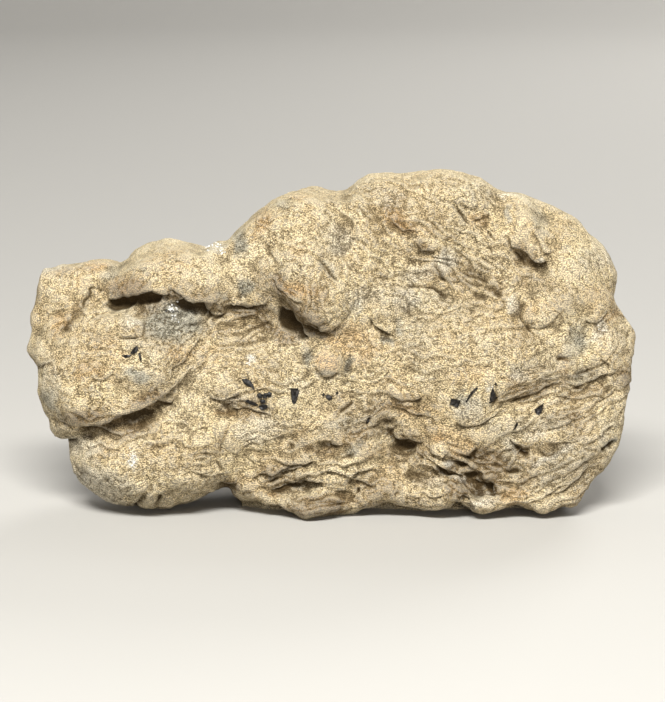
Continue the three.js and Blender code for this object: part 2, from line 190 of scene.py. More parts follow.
def relax(values, edges, rounds):
    # each round moves every point half way to the mean of its neighbours
    counts = np.bincount(edges.ravel(), minlength=len(values)).astype(float)
    start, end = edges[:, 0], edges[:, 1]
    for _ in range(rounds):
        mean = np.empty_like(values)
        for column in range(values.shape[1]):
            mean[:, column] = np.bincount(start, values[end, column], len(values))
            mean[:, column] += np.bincount(end, values[start, column], len(values))
        values = (values + mean / counts[:, None]) / 2
    return values


def saveAttribute(mesh, name, values):
    attribute = mesh.attributes.new(name, "FLOAT", "POINT")
    attribute.data.foreach_set("value", np.clip(values, 0, 1).astype(np.float32))


def bakeModifiers(piece):
    shaped = bpy.data.meshes.new_from_object(piece.evaluated_get(bpy.context.evaluated_depsgraph_get()))
    old = piece.data
    piece.modifiers.clear()
    piece.data = shaped
    bpy.data.meshes.remove(old)


def addToScene(name, data):
    thing = bpy.data.objects.new(name, data)
    bpy.context.scene.collection.objects.link(thing)
    return thing


# Strokes on the face: a smooth line through a few points, and how far each vertex is from it.
def smoothLine(points, parts=4):
    points = np.array(points, float)
    padded = np.vstack([2 * points[0] - points[1], points, 2 * points[-1] - points[-2]])
    line = [points[0]]
    for i in range(1, len(padded) - 2):
        a, b, c, d = padded[i - 1:i + 3]
        for t in np.arange(1, parts + 1) / parts:
            line.append(0.5 * (2 * b + (c - a) * t + (2 * a - 5 * b + 4 * c - d) * t * t
                               + (3 * b - a - 3 * c + d) * t ** 3))
    return np.array(line)


def fromLine(places, line):
    best = np.full(len(places), np.inf)
    side = np.zeros(len(places))
    share = np.zeros(len(places))
    across = np.zeros((len(places), 2))
    lengths = np.linalg.norm(np.diff(line, axis=0), axis=1)
    walked = np.concatenate([[0], np.cumsum(lengths)])
    for i, (a, b) in enumerate(zip(line[:-1], line[1:])):
        run = b - a
        away = places - a
        t = np.clip(away @ run / (run @ run), 0, 1)
        off = away - t[:, None] * run
        distance = np.linalg.norm(off, axis=1)
        closer = distance < best
        best = np.where(closer, distance, best)
        side = np.where(closer, np.where(run[0] * away[:, 1] - run[1] * away[:, 0] >= 0, 1.0, -1.0), side)
        share = np.where(closer, (walked[i] + t * lengths[i]) / walked[-1], share)
        across[closer] = np.array([-run[1], run[0]]) / lengths[i]
    return best * side, share, across


stone = {
    "voxel": 0.36,           # mm, mesh size while the relief is worked
    "softening": 14,         # rounds that take off the coarse facets
    "softFrom": 0.6,         # mm above the ground where the softening is full
    "triangles": 197000,     # faces kept at the end
    "lumps": [               # seed, size, height in mm, and how sharply creased between
        (11, 7.0, 0.55, 0.3),
        (12, 3.2, 0.30, 0.4),
        (13, 1.3, 0.13, 0.3),
    ],
    "smoothLumps": 0.38,     # share of them on the smooth parts
    "crumbs": (2.6, 0.55),   # broken crumbs in the rough places: size, height
    "crumbLayers": [(14, 1.0), (15, 0.5)],    # seed, share of that size and height
    "crumbShake": (1.7, 0.35),
    "smoothCrumbs": 0.16,    # share of them elsewhere
    "contact": (0.05, 0.8),  # mm above the ground where the relief starts, and where it is full
    "hollows": {             # rounds of smoothing that find each, and the mm that count as full
        "crease": (4, 0.055),
        "hollow": (36, 0.55),
        "recess": (130, 1.6),
    },
}

# Grain of the surface by place: across, up, half width, half height, direction in degrees,
# ledge spacing, ledge height, wrinkle depth, and how crumbly it is.
grainPlaces = [
    (49, 13, 16, 13, 30, 3.2, 0.70, 0.30, 0.4),     # fan at the lower right
    (52, 27, 12, 4, 14, 2.6, 0.60, 0.25, 0.3),      # valley over the fan
    (51, 50, 10, 11, -60, 4.5, 0.22, 0.14, 0.1),    # right shoulder
    (59, 36, 5, 7, 60, 3.2, 0.35, 0.25, 0.3),       # right knob
    (7, 61, 6, 7, -50, 2.6, 0.50, 0.30, 0.4),       # seam beside the dome
    (24, 51, 14, 8, -20, 2.8, 0.70, 0.40, 0.8),     # rough hollow
    (21, 64, 14, 7, -25, 2.8, 0.65, 0.30, 0.9),     # upper middle
    (8, 19.5, 7, 5, 27, 2.0, 0.55, 0.30, 0.7),      # crumbly bed
    (4, 46, 9, 9, -80, 2.6, 0.35, 0.35, 0.4),       # centre column
    (-3, 7, 15, 6, 8, 2.8, 1.10, 0.35, 0.7),        # layers at the foot
    (28, 8, 13, 6, -22, 2.6, 0.95, 0.35, 1.0),      # broken belt
    (-18, 39, 11, 6, 20, 2.8, 0.70, 0.30, 0.6),     # basin
    (-46, 28, 14, 9, -5, 3.8, 0.60, 0.25, 0.5),     # cheek
    (-31, 32, 5, 9, 60, 2.8, 0.70, 0.25, 0.7),      # slope beside the cheek
    (-36, 40, 7, 4, 10, 2.6, 0.50, 0.30, 0.7),      # grey bed under the roll
    (-53, 45, 9, 9, 35, 4.4, 0.25, 0.15, 0.1),      # plate
    (-33, 51, 13, 6, 5, 4.4, 0.25, 0.15, 0.2),      # roll
    (-8, 56, 11, 13, -30, 4.0, 0.35, 0.18, 0.3),    # dome
    (-38, 10, 17, 9, 8, 3.2, 0.60, 0.30, 0.5),      # foot lobe
    (30, 33, 17, 11, 15, 3.8, 0.38, 0.20, 0.3),     # field
    (12, 30, 9, 9, -10, 3.0, 0.50, 0.25, 0.5),
    (-14, 28, 10, 9, 10, 2.8, 0.60, 0.25, 0.6),
    (-12, 18, 9, 5, 15, 3.2, 0.35, 0.20, 0.2),      # smooth cream belly
]

# Edges that stand proud of the hollow under them: height, width, and points from left to right
# with the proud side above.
lips = [
    (2.2, 1, [(-47, 45.4), (-44.5, 45.5), (-42, 45.8), (-40, 46.3), (-38.4, 46.8), (-36.4, 46.9)]),
    (1.5, 0.5, [(-37.6, 45.5), (-36, 45.5), (-34.4, 45.9), (-33.4, 46.3)]),
    (2.8, 0.9, [(-34.2, 46.9), (-32.6, 47.1), (-31, 46.4), (-30, 45.4), (-28, 45), (-25.4, 44.8),
        (-23, 44.2)]),
    (1.5, 0.5, [(-21.2, 44.1), (-18.6, 43.9), (-17, 43.3), (-15.6, 43.9), (-12.8, 43.9)]),
    (1.2, 0.6, [(-26.4, 43.2), (-25, 42.4), (-23.6, 41.8), (-21.6, 42.6)]),
    (0.8, 0.9, [(-57, 37.8), (-55, 40), (-53.5, 42.5), (-52, 43.8), (-51.5, 45), (-50.4, 45.8), (-50, 47.3),
        (-48.8, 47.5)]),
    (0.5, 0.4, [(-52.5, 42.2), (-51.8, 42.8)]),
    (0.7, 0.6, [(-61.5, 31), (-60, 31.3), (-58, 32.2)]),
    (1.8, 0.6, [(-57, 20.4), (-54.5, 20.2), (-52, 19.6), (-50, 19.8), (-47, 19.8), (-45.4, 20.2),
        (-44, 20.9), (-42, 21.4), (-40, 21.8), (-38, 22.8), (-36.4, 23.4), (-35, 24.8), (-33, 26.5),
        (-31.6, 30)]),
    (1.2, 0.6, [(-36.2, 23.5), (-34.8, 23.2), (-33.4, 23.5), (-32.6, 24)]),
    (0.9, 0.7, [(-52, 18.8), (-49, 18.6), (-47, 18.1), (-45, 17.2), (-43, 16.6)]),
    (1.2, 0.6, [(-57, 16.8), (-55.6, 16.6), (-54, 16), (-52.6, 16.2)]),
    (0.8, 0.5, [(-50, 28.7), (-48, 28.3), (-46.3, 28.8), (-45, 30)]),
    (0.7, 0.5, [(-35, 23.4), (-33.5, 23.2), (-32.7, 23.9)]),
    (0.75, 0.5, [(-44.7, 37.2), (-41.5, 37.3), (-40, 37.7), (-39.3, 39), (-38.8, 42)]),
    (0.5, 0.4, [(-30.4, 40), (-28.5, 39.9), (-26, 40.3)]),
    (0.6, 0.4, [(-12.8, 55.2), (-11.2, 53.2), (-10.3, 52.2)]),
    (0.5, 0.4, [(-10, 53), (-8.5, 53.1), (-7, 53.5)]),
    (0.5, 0.4, [(-5, 51.7), (-3.3, 51.8)]),
    (0.9, 0.5, [(-12, 50), (-11.3, 48), (-10.7, 47), (-9.7, 46.3), (-8.5, 45.3), (-7, 44.6), (-5.2, 44.3)]),
    (1.7, 1.1, [(-10.6, 43.2), (-9, 43), (-7.6, 42.1), (-6.6, 41), (-5.6, 39.4), (-4.8, 38), (-4, 36.6)]),
    (0.9, 0.5, [(-4.7, 41), (-3, 40.5), (-1.5, 39.6), (0, 39.6), (1.5, 41)]),
    (1.1, 0.5, [(-25.5, 25), (-24.3, 24.3), (-22.8, 23.8), (-21.5, 24.3), (-20, 24.9), (-18.3, 25.6)]),
    (0.5, 0.4, [(-17.5, 24), (-16.5, 23.6), (-15, 23.2)]),
    (1, 0.5, [(-21, 21.7), (-19.5, 21.5), (-17.5, 21.9), (-16, 21.6), (-13.5, 21.2), (-12, 20.8)]),
    (1.5, 0.7, [(-13.5, 8.5), (-12, 9), (-10, 10), (-7, 10.6), (-4.5, 10.8), (-3, 11.1)]),
    (1.1, 0.5, [(-14.5, 6.3), (-13, 7.2), (-11, 8), (-9, 8.4)]),
    (1.6, 0.8, [(-13.5, 5.5), (-11, 5.8), (-8.5, 6.8), (-6, 7.6), (-4, 7.4), (-1, 7)]),
    (0.9, 0.6, [(-22.5, 6.3), (-20.5, 6.9), (-19, 7.1)]),
    (0.7, 0.5, [(-29.5, 4.7), (-26, 4.6), (-22, 5.2)]),
    (0.5, 0.4, [(-18, 5), (-16, 4.8)]),
    (0.4, 0.5, [(-6, 2.8), (-3, 3.2), (1, 2.4), (3, 3)]),
    (0.9, 0.5, [(5, 7.4), (6.5, 7), (8, 6.5), (10, 6.1)]),
    (0.6, 0.4, [(6.5, 9.3), (9, 9.3), (12, 9.6)]),
    (0.7, 0.5, [(15.5, 4), (17, 3.8), (19, 3.4)]),
    (0.6, 0.8, [(11.8, 62.3), (12.5, 62), (13.3, 61), (14.3, 60), (15.5, 59.5), (18.3, 59.2)]),
    (0.3, 0.6, [(17.2, 57), (19, 55.8), (20.2, 55.4), (22.5, 56)]),
    (0.4, 0.5, [(24.3, 57), (26.5, 55.5), (28, 54), (29.5, 53), (30, 51.5), (33, 50.3)]),
    (0.7, 0.4, [(21.5, 52.5), (22.5, 50.5), (23.8, 49)]),
    (0.3, 0.4, [(15.5, 48.1), (17.5, 47.7), (19.5, 47.4), (21.5, 47.5), (23.5, 46.7), (25.5, 45.7)]),
    (0.6, 0.4, [(20.5, 45.8), (22.7, 45.1)]),
    (0.6, 0.4, [(24, 48.5), (27, 48.7), (29, 48), (30, 47.5)]),
    (0.7, 0.4, [(29.3, 44.3), (30.5, 44.1)]),
    (0.6, 0.4, [(30.2, 42.4), (32.3, 42.6)]),
    (0.7, 0.5, [(34, 43), (35, 43.2), (36.5, 44)]),
    (0.5, 0.4, [(28, 40.2), (30.3, 41)]),
    (0.5, 0.4, [(5, 48.3), (6.3, 47.8), (7.7, 47.4)]),
    (0.8, 0.5, [(8.3, 41.6), (9, 40.3), (10, 39.2), (11.3, 38.3), (13, 37.6)]),
    (0.5, 0.4, [(29, 38), (30.3, 36.2), (31, 35.6)]),
    (0.4, 0.4, [(30, 31), (32, 31.2), (34, 32.4)]),
    (0.5, 0.4, [(36, 35.9), (37.2, 35.2), (38.5, 35.2)]),
    (0.8, 0.5, [(42, 59.5), (43.2, 57.8), (44.3, 55.5), (45, 54.7), (46.2, 54.9), (47.4, 55.4)]),
    (0.5, 0.8, [(37, 56.8), (38.5, 55.8), (40.6, 54.8), (41.8, 53.6)]),
    (0.7, 0.8, [(41.4, 53.8), (42.6, 52.8), (43.8, 52.6), (45, 53.2)]),
    (0.7, 0.5, [(39.5, 49.9), (40.8, 49.9), (42, 50.2)]),
    (0.5, 0.6, [(43.2, 36.2), (42, 37.2), (40.8, 38.6), (39.8, 40), (39.3, 42), (39.5, 45)]),
    (0.35, 0.5, [(41, 39.7), (43, 39.4), (45, 40), (47.5, 41.7), (49, 44)]),
    (0.9, 0.5, [(52.6, 41), (54.3, 40.2), (55.6, 40.3), (57, 41.5), (58, 43)]),
    (0.45, 0.6, [(33.6, 24.3), (36, 24.2), (38, 24.6), (40.5, 25.6), (43, 26.6), (45.5, 27.8), (48, 28.6)]),
    (0.9, 0.5, [(48.8, 28.2), (50, 27.3), (52, 27.3), (55, 28.3), (57.5, 29.5), (61, 29.5)]),
    (0.9, 0.5, [(46, 25.4), (49, 24.9), (51, 24.4), (53, 24.5), (55, 25), (58, 25.2), (60, 27)]),
    (0.8, 0.5, [(53, 21.5), (54.5, 22.6), (56, 24), (58, 25.2)]),
    (0.7, 0.5, [(26, 19.7), (27.5, 18.9), (29, 18.7), (31, 19.3), (33, 20.5), (36, 22.5)]),
    (0.6, 0.4, [(45, 18.6), (46.4, 18), (48, 18.3), (49.3, 18.6), (51, 19.6)]),
    (0.8, 0.5, [(38, 7), (40, 7.4), (42, 8), (44, 8.2)]),
    (0.7, 0.4, [(35, 7.3), (37.3, 7.2), (39, 6.8), (41.5, 7.7)]),
    (0.8, 0.5, [(44.5, 3.9), (46.5, 4.8), (48.2, 6), (50, 6.5)]),
    (0.8, 0.5, [(37.6, 16.2), (39, 14.6), (40, 13.4), (41.3, 12.7)]),
    (0.7, 0.5, [(43.2, 14.4), (44, 13.2), (45.5, 12.6), (47, 13)]),
    (0.7, 0.5, [(51.5, 15), (53.5, 15), (55.5, 16), (57.2, 17.6), (59.6, 19.6)]),
    (0.9, 0.5, [(12.5, 25.2), (14, 24.7), (16, 24.4), (18, 24.6), (19.5, 25)]),
    (0.7, 0.7, [(11, 23.5), (13.5, 22.7), (15.5, 22.3), (17, 21.3), (19, 20.9), (21, 20.6), (22.3, 19.4),
        (23, 18.5)]),
    (0.9, 0.5, [(22.2, 9.8), (23.2, 9), (24.6, 9.2), (25.4, 8.6), (26.5, 8.7), (27.6, 8.4), (28.2, 7)]),
    (0.8, 0.5, [(30, 7.6), (31.5, 6.8), (33, 6.1), (34.3, 5)]),
    (0.6, 0.4, [(17.3, 17), (18.2, 16.5), (19, 16.7)]),
    (0.9, 0.5, [(12.5, 17.2), (13.6, 16.2), (15, 15.7), (16.6, 15.9), (18.2, 15), (19.6, 14.8)]),
    (0.8, 0.5, [(36.6, 9.6), (38, 9.2), (39, 9.5)]),
    (0.6, 0.4, [(4.8, 23.2), (3.4, 21.8), (1.8, 21)]),
    (0.8, 0.5, [(0, 14.8), (1, 14.4), (2.5, 14.4)]),
    (0.6, 0.4, [(0.4, 12.6), (2, 11.8), (3.2, 12.4), (5, 12.6)]),
    (0.7, 0.5, [(0.6, 5.1), (2, 5.1), (3.2, 4.8)]),
    (0.5, 0.4, [(-21.6, 40.2), (-18, 41.4), (-15.5, 41.6)]),
    (0.35, 0.4, [(-17.6, 38.8), (-15, 39.2), (-13.4, 40.4)]),
    (0.5, 0.4, [(-20.4, 36.2), (-16.4, 36.6), (-13.6, 38.2)]),
]

# Narrow cracks and grooves: depth, width, points.
cracks = [
    (0.7, 0.35, [(21.3, 52.4), (22.4, 50.8), (23.8, 49), (24.6, 48.6)]),
    (0.5, 0.3, [(15.5, 47.9), (18, 47.6), (21, 47.5), (23.4, 46.4), (25, 45.8)]),
    (0.5, 0.3, [(27, 50.6), (29, 49.8), (31, 49.4), (33, 48.4)]),
    (0.5, 0.3, [(26, 49), (28, 48.8), (30, 48.2), (32, 47.8)]),
    (0.5, 0.3, [(25.4, 55.8), (27, 54.6), (28.4, 53.4), (29.4, 52)]),
    (0.5, 0.3, [(30.5, 52.6), (32, 51.6), (34, 50.6)]),
    (0.5, 0.3, [(31, 54.2), (33, 52.8), (35, 51.2), (36.4, 50)]),
    (0.5, 0.3, [(38, 55), (39.6, 53.4), (41, 51.6)]),
    (0.4, 0.3, [(26, 13.2), (29, 11.8), (32, 11.6), (35, 10.8)]),
    (0.4, 0.3, [(24, 15.2), (26, 14.2), (28, 13.8)]),
    (0.4, 0.3, [(41, 5), (46, 6.6), (51, 9), (55, 12)]),
    (0.4, 0.3, [(43, 8), (48, 9.6), (53, 12.4)]),
    (0.4, 0.3, [(46, 3.4), (49, 4.8), (53, 7.6)]),
    (0.4, 0.3, [(44, 17), (49, 18.6), (54, 20.6), (58, 23.6)]),
    (0.4, 0.3, [(47, 21.6), (51, 22.6), (55, 24.4), (60, 27)]),
    (0.35, 0.35, [(-26, 38.2), (-23.4, 38.6), (-20.6, 39.6)]),
    (0.4, 0.35, [(-21, 37.8), (-17.6, 38), (-14.6, 39.6), (-12, 39.8)]),
    (0.4, 0.35, [(-24, 35.6), (-21.4, 35.2), (-19, 35.6), (-17, 35.2)]),
    (0.4, 0.3, [(-20, 34), (-17, 34.4), (-14, 35.4)]),
    (0.5, 0.35, [(-3.2, 31.4), (-2.6, 29.6), (-1, 28.5), (0.8, 28.8), (2.2, 30.2)]),
    (0.8, 0.3, [(-52, 43.6), (-51, 45.2), (-50.3, 46.2), (-50, 47.3), (-48.6, 47.5)]),
    (0.6, 0.3, [(-48.6, 47.5), (-47.6, 46.6)]),
    (0.7, 0.3, [(-44.6, 37.2), (-42.6, 37.1), (-41, 37.4), (-40.2, 37.9)]),
    (0.9, 0.5, [(-41, 2.7), (-39.5, 4), (-37.8, 5.8), (-37, 6.7)]),
    (0.8, 0.5, [(-36.5, 2.8), (-35.3, 5)]),
    (0.7, 0.35, [(-28.8, 12.2), (-26, 12.8), (-24.2, 12.8)]),
    (0.7, 0.35, [(-24, 11.5), (-22.5, 9.5), (-22.2, 8.8)]),
    (0.25, 0.4, [(-20.5, 20), (-22, 17), (-23.5, 15), (-23.7, 12.5)]),
    (0.5, 0.35, [(-43.5, 6.3), (-41, 6)]),
    (0.4, 0.3, [(-47.5, 8), (-45.5, 8.4)]),
    (0.4, 0.3, [(-51.4, 9.3), (-49.8, 9.6)]),
    (0.5, 0.3, [(-36.5, 26.1), (-35.5, 26.2)]),
    (0.5, 0.35, [(-20, 43.9), (-18.5, 43.9), (-16, 43.5), (-13.5, 43.9)]),
    (0.5, 0.35, [(-24.7, 41), (-24, 40.7), (-22.5, 42)]),
    (0.4, 0.3, [(-24, 43), (-20, 42.2), (-16, 42.4)]),
    (0.6, 0.4, [(-3, 54), (-1, 52), (0, 50.5), (2, 48.5)]),
    (0.5, 0.35, [(-1.5, 28.5), (0, 28.4)]),
    (0.4, 0.3, [(-18, 14.5), (-16.2, 15.4), (-14.5, 15)]),
    (0.4, 0.3, [(-18.3, 13), (-17, 11.5), (-15.5, 10.8)]),
    (0.4, 0.3, [(-5, 0.6), (-2, 1.6), (3, 2.4), (6, 3)]),
    (0.6, 0.35, [(25.5, 65.3), (27, 63.5), (28.5, 61.3), (29.5, 60.7)]),
    (0.5, 0.3, [(27, 64.8), (29, 63.8)]),
    (0.6, 0.35, [(30, 61.2), (32.5, 61.8), (33, 62.8)]),
    (0.5, 0.3, [(21, 63), (22.5, 61.5)]),
    (0.4, 0.3, [(22.3, 61.8), (25, 61.7)]),
    (0.6, 0.4, [(5, 65), (6.5, 63.8), (8, 62.3)]),
    (0.5, 0.35, [(4, 58), (6, 57), (8, 55.8)]),
    (0.4, 0.35, [(8.3, 50.5), (10.7, 51), (12.3, 49)]),
    (0.5, 0.3, [(32.6, 59.5), (33.6, 58), (34.8, 57)]),
    (0.5, 0.3, [(32.6, 56), (34, 55.1)]),
    (0.7, 0.4, [(36.6, 58.5), (37.2, 57), (37.4, 56)]),
    (0.8, 0.4, [(55.8, 13.6), (56.6, 14), (58, 15.2), (59.2, 15.6)]),
    (0.5, 0.3, [(53, 13.8), (54.4, 13.5), (55.6, 13.6)]),
    (0.5, 0.35, [(56.4, 16.9), (57.6, 18), (59, 18.4)]),
    (0.5, 0.35, [(43.8, 20.2), (45.2, 20.4)]),
    (0.5, 0.3, [(50.5, 21.6), (51.8, 20.8), (52.4, 21.8)]),
    (0.5, 0.3, [(49.4, 20.8), (50.2, 20.2)]),
    (0.4, 0.3, [(41, 5.8), (43, 5.4)]),
    (0.4, 0.3, [(41.5, 4.9), (44, 4.6)]),
    (0.4, 0.3, [(42, 2.4), (44.4, 2.2)]),
    (0.6, 0.35, [(18, 13.2), (18.8, 12), (19.5, 11.5)]),
    (0.6, 0.35, [(20.2, 14.5), (20.7, 12.7), (22, 12.1), (23.5, 12)]),
    (0.7, 0.35, [(23, 11.6), (25, 10.8), (27, 10.5)]),
    (0.7, 0.35, [(23.9, 11.7), (24.9, 13)]),
    (0.6, 0.35, [(12, 18), (13, 17), (14, 16.2)]),
    (0.5, 0.35, [(2, 21.8), (3.6, 22.6), (4.8, 23.8)]),
    (0.5, 0.35, [(6.5, 21), (8, 21.4), (9.4, 21.2)]),
    (0.5, 0.35, [(3.5, 17.6), (6, 17.4), (8.5, 18.2), (11, 18.6)]),
    (0.5, 0.35, [(25.5, 6.8), (27, 6.5)]),
    (0.5, 0.35, [(31.5, 9.5), (33, 9.6), (35, 9.2)]),
    (0.5, 0.3, [(31, 8.6), (33, 8.5), (34.6, 8.9)]),
    (0.5, 0.3, [(20.5, 5.8), (22, 6), (23.4, 5.7)]),
    (0.5, 0.3, [(13.5, 4.2), (14.4, 4.6)]),
    (0.5, 0.3, [(42.8, 60.3), (43.8, 59.6)]),
    (0.4, 0.3, [(55.6, 36.8), (57.4, 36.6)]),
    (0.4, 0.3, [(58.6, 34), (60, 34), (60.6, 33.4)]),
    (0.5, 0.35, [(56, 32.4), (57.5, 31.4), (58.4, 30.4)]),
    (0.4, 0.3, [(43.5, 31), (45, 30.6)]),
    (0.5, 0.35, [(36, 26.2), (39, 26.6), (42, 27.4), (45, 28.6), (48, 30)]),
    (0.5, 0.3, [(35, 24.9), (38, 25.6), (41, 26.4), (44, 27.4), (47, 28.8)]),
    (0.6, 0.35, [(36.5, 23.6), (40, 24.2), (43, 25.2), (46, 26.6), (49, 27.6)]),
    (0.45, 0.3, [(38.6, 23), (42, 23.6), (46, 25), (50, 26.2), (54, 26.8)]),
    (0.45, 0.3, [(50, 29.4), (53, 30), (56, 31), (59, 31.2)]),
    (0.45, 0.3, [(16, 34.4), (18, 35.2), (19.4, 35.6)]),
]

# Nubs stand up and pits go in: across, up, half length, half width, direction, height.
bumps = [
    (-3, 38.8, 2.6, 0.8, -25, -0.7), (-43.4, 44.4, 2.8, 0.8, 4, -0.9), (-37.6, 45.2, 2.6, 0.8, 6, -0.9),
    (-29, 43.3, 3.2, 0.7, -8, -0.8), (-18.6, 43.2, 3, 0.5, 0, -0.7), (-8.6, 40.8, 2.4, 0.9, -48, -0.8),
    (-41, 20.4, 3.2, 0.6, 14, -0.7), (-61.5, 41, 1.6, 1.4, 90, 0.6), (-61.3, 34.5, 2.2, 1.8, 90, 0.5),
    (-56, 18.4, 2.8, 1.5, 0, 1.4), (-37.5, 3.5, 1.6, 1.4, 0, 0.6), (-34, 3.2, 1.8, 1.3, 0, 0.6),
    (-21.5, 14, 2, 2, 0, 0.4), (-28.5, 41.5, 1.8, 1.1, 10, 0.7), (-33, 42.5, 1.5, 1.2, 0, 0.4),
    (-0.5, 32, 2.7, 2.6, 0, 0.4), (29.6, 9.8, 1.3, 0.9, 30, 0.6), (32.6, 8.2, 1.2, 0.7, -30, 0.6),
    (31, 6.4, 1.1, 0.8, -40, 0.5), (34.6, 9.4, 1.3, 0.6, 0, 0.5), (37, 62.6, 1.9, 0.9, 90, 0.35),
    (22.5, 13.6, 2.4, 1.6, 20, 0.6), (26.6, 7.6, 1.6, 0.7, 0, 0.8), (43.8, 53, 0.9, 0.8, 0, 0.3),
    (15.5, 23.6, 2, 0.6, -8, 0.5), (-41.5, 40.5, 2.3, 2.2, 60, 0.5), (24, 10.6, 1.2, 0.6, 0, 0.5),
    (19, 13.3, 1.2, 1.4, 60, 0.5), (48.4, 31.2, 1.6, 1.1, 30, 0.35), (-51.2, 18, 1, 0.8, 0, -0.5),
    (-43.5, 18.6, 4, 1.2, -4, -0.3), (-22, 5.6, 2, 1.1, 0, -0.6), (-0.8, 14.5, 1.8, 0.8, 0, -0.5),
    (3.3, 13.6, 1, 0.8, 0, -0.4), (4.3, 12.3, 0.9, 0.6, 20, -0.6), (-8, 14.2, 0.8, 0.6, 0, -0.5),
    (20.2, 55.1, 1.2, 0.5, 10, -0.5), (33.6, 47.4, 1.5, 0.6, -20, -0.5), (35, 46.1, 1, 0.6, -50, -0.5),
    (43.2, 52, 1.5, 0.8, 20, -0.3), (15.7, 14.4, 1.6, 0.6, 0, -0.5), (38, 9.2, 1.4, 0.5, -5, -0.7),
    (46.5, 13.8, 3, 1.1, 15, -0.25), (40, 13.3, 1.8, 0.8, -40, -0.8), (23.4, 9.2, 1.1, 0.5, -10, -1),
    (48.3, 32.6, 1, 0.5, -8, -0.8), (29.8, 12.2, 1.4, 0.8, 45, -0.7), (33.6, 5.6, 1.3, 0.7, -50, -0.8),
    (27.7, 10.2, 1.3, 0.5, -10, -0.9), (30.5, 4.2, 1.4, 1.1, 60, -0.6), (28.6, 3.9, 0.8, 0.9, 60, -0.6),
    (58.2, 14.9, 0.9, 0.4, 30, -0.8), (26.2, 23.5, 1.1, 0.8, -20, -0.6), (43.8, 22, 0.9, 0.7, 50, -0.9),
    (34, 24.5, 1.6, 0.6, 70, -0.7), (8, 19.5, 0.9, 0.35, 70, -0.8), (38.8, 18.7, 0.8, 0.3, 60, -0.6),
    (5.7, 5, 0.6, 0.25, 55, -0.7),
]

# Broad swells and dips, with the same values.
swells = [
    (-16, 15.2, 7, 4.6, 0, 1), (-24, 16.6, 3.4, 4, 60, 1.4), (-48, 6, 8, 5.4, -20, 2),
    (-57, 22.8, 5, 4, 0, 1.4), (-50, 22.8, 5, 3, 0, 1), (0, 7.2, 3.2, 2.4, 0, 1.1),
    (6, 10.4, 2.6, 2, 0, 0.8), (-18, 6.4, 2.2, 2.2, 0, 0.8), (-35, 30, 3, 2.6, 0, 0.8),
    (1, 41, 5, 5, 0, 1.5), (7, 43.4, 3, 3, 0, 0.6), (23, 51, 4, 3.4, 0, 1.6), (24, 56.6, 4, 2.4, 0, 0.9),
    (57, 14, 3, 6, 20, 1), (34, 19.6, 5, 3, 0, 1), (35, 57, 3, 2.6, 0, 0.8), (45, 37.8, 3.6, 2.6, 0, 1.2),
    (52, 34.6, 3, 4.6, 0, 2), (29, 25, 8, 3.6, 10, 1.4), (0, 26, 2.6, 2.4, 0, 0.6),
    (-10, 26.4, 4, 2.4, 0, 0.7), (-8, 21.4, 4, 3, 0, 1.1), (-20, 27, 4, 2, 0, 0.6),
    (-34, 5, 5, 2.6, 0, 0.8), (15, 26.4, 4, 2, 0, 0.5), (22, 33, 5, 3, 0, 0.6), (-16, 48, 3, 3, 0, 0.8),
    (-42, 44, 6, 2, 0, -1.2), (-36, 38.4, 4, 3, 0, -0.8), (-17, 40, 5, 2.6, 0, -1.4),
    (-7.4, 41.6, 5, 2.4, -50, -0.6), (-37, 22, 4.4, 2, 35, -0.9), (-18.5, 22.4, 5, 1.9, 0, -1.3),
    (-4, 12, 2.6, 1.9, 0, -1.1), (-11, 4.6, 4, 2, 0, -0.6), (5.4, 16.4, 3.2, 2.4, 0, -1.1),
    (16, 12.6, 3, 2, 0, -0.8), (27, 43, 8, 4, 0, -1.6), (44, 46.6, 3.4, 3, 0, -1.2),
    (-12, 38, 4, 2.4, -30, -1), (22, 14.6, 3, 2, 0, -0.8), (-40, 26.4, 4, 1.8, 0, -0.8),
    (-37, 36.8, 5, 2.2, 0, -0.8), (30, 6, 5, 3, -30, -0.4), (42, 6.4, 6, 2.6, 10, -1.1),
    (50, 20, 6, 2, 20, -0.6), (13, 63.6, 3, 3, 0, -0.8),
]

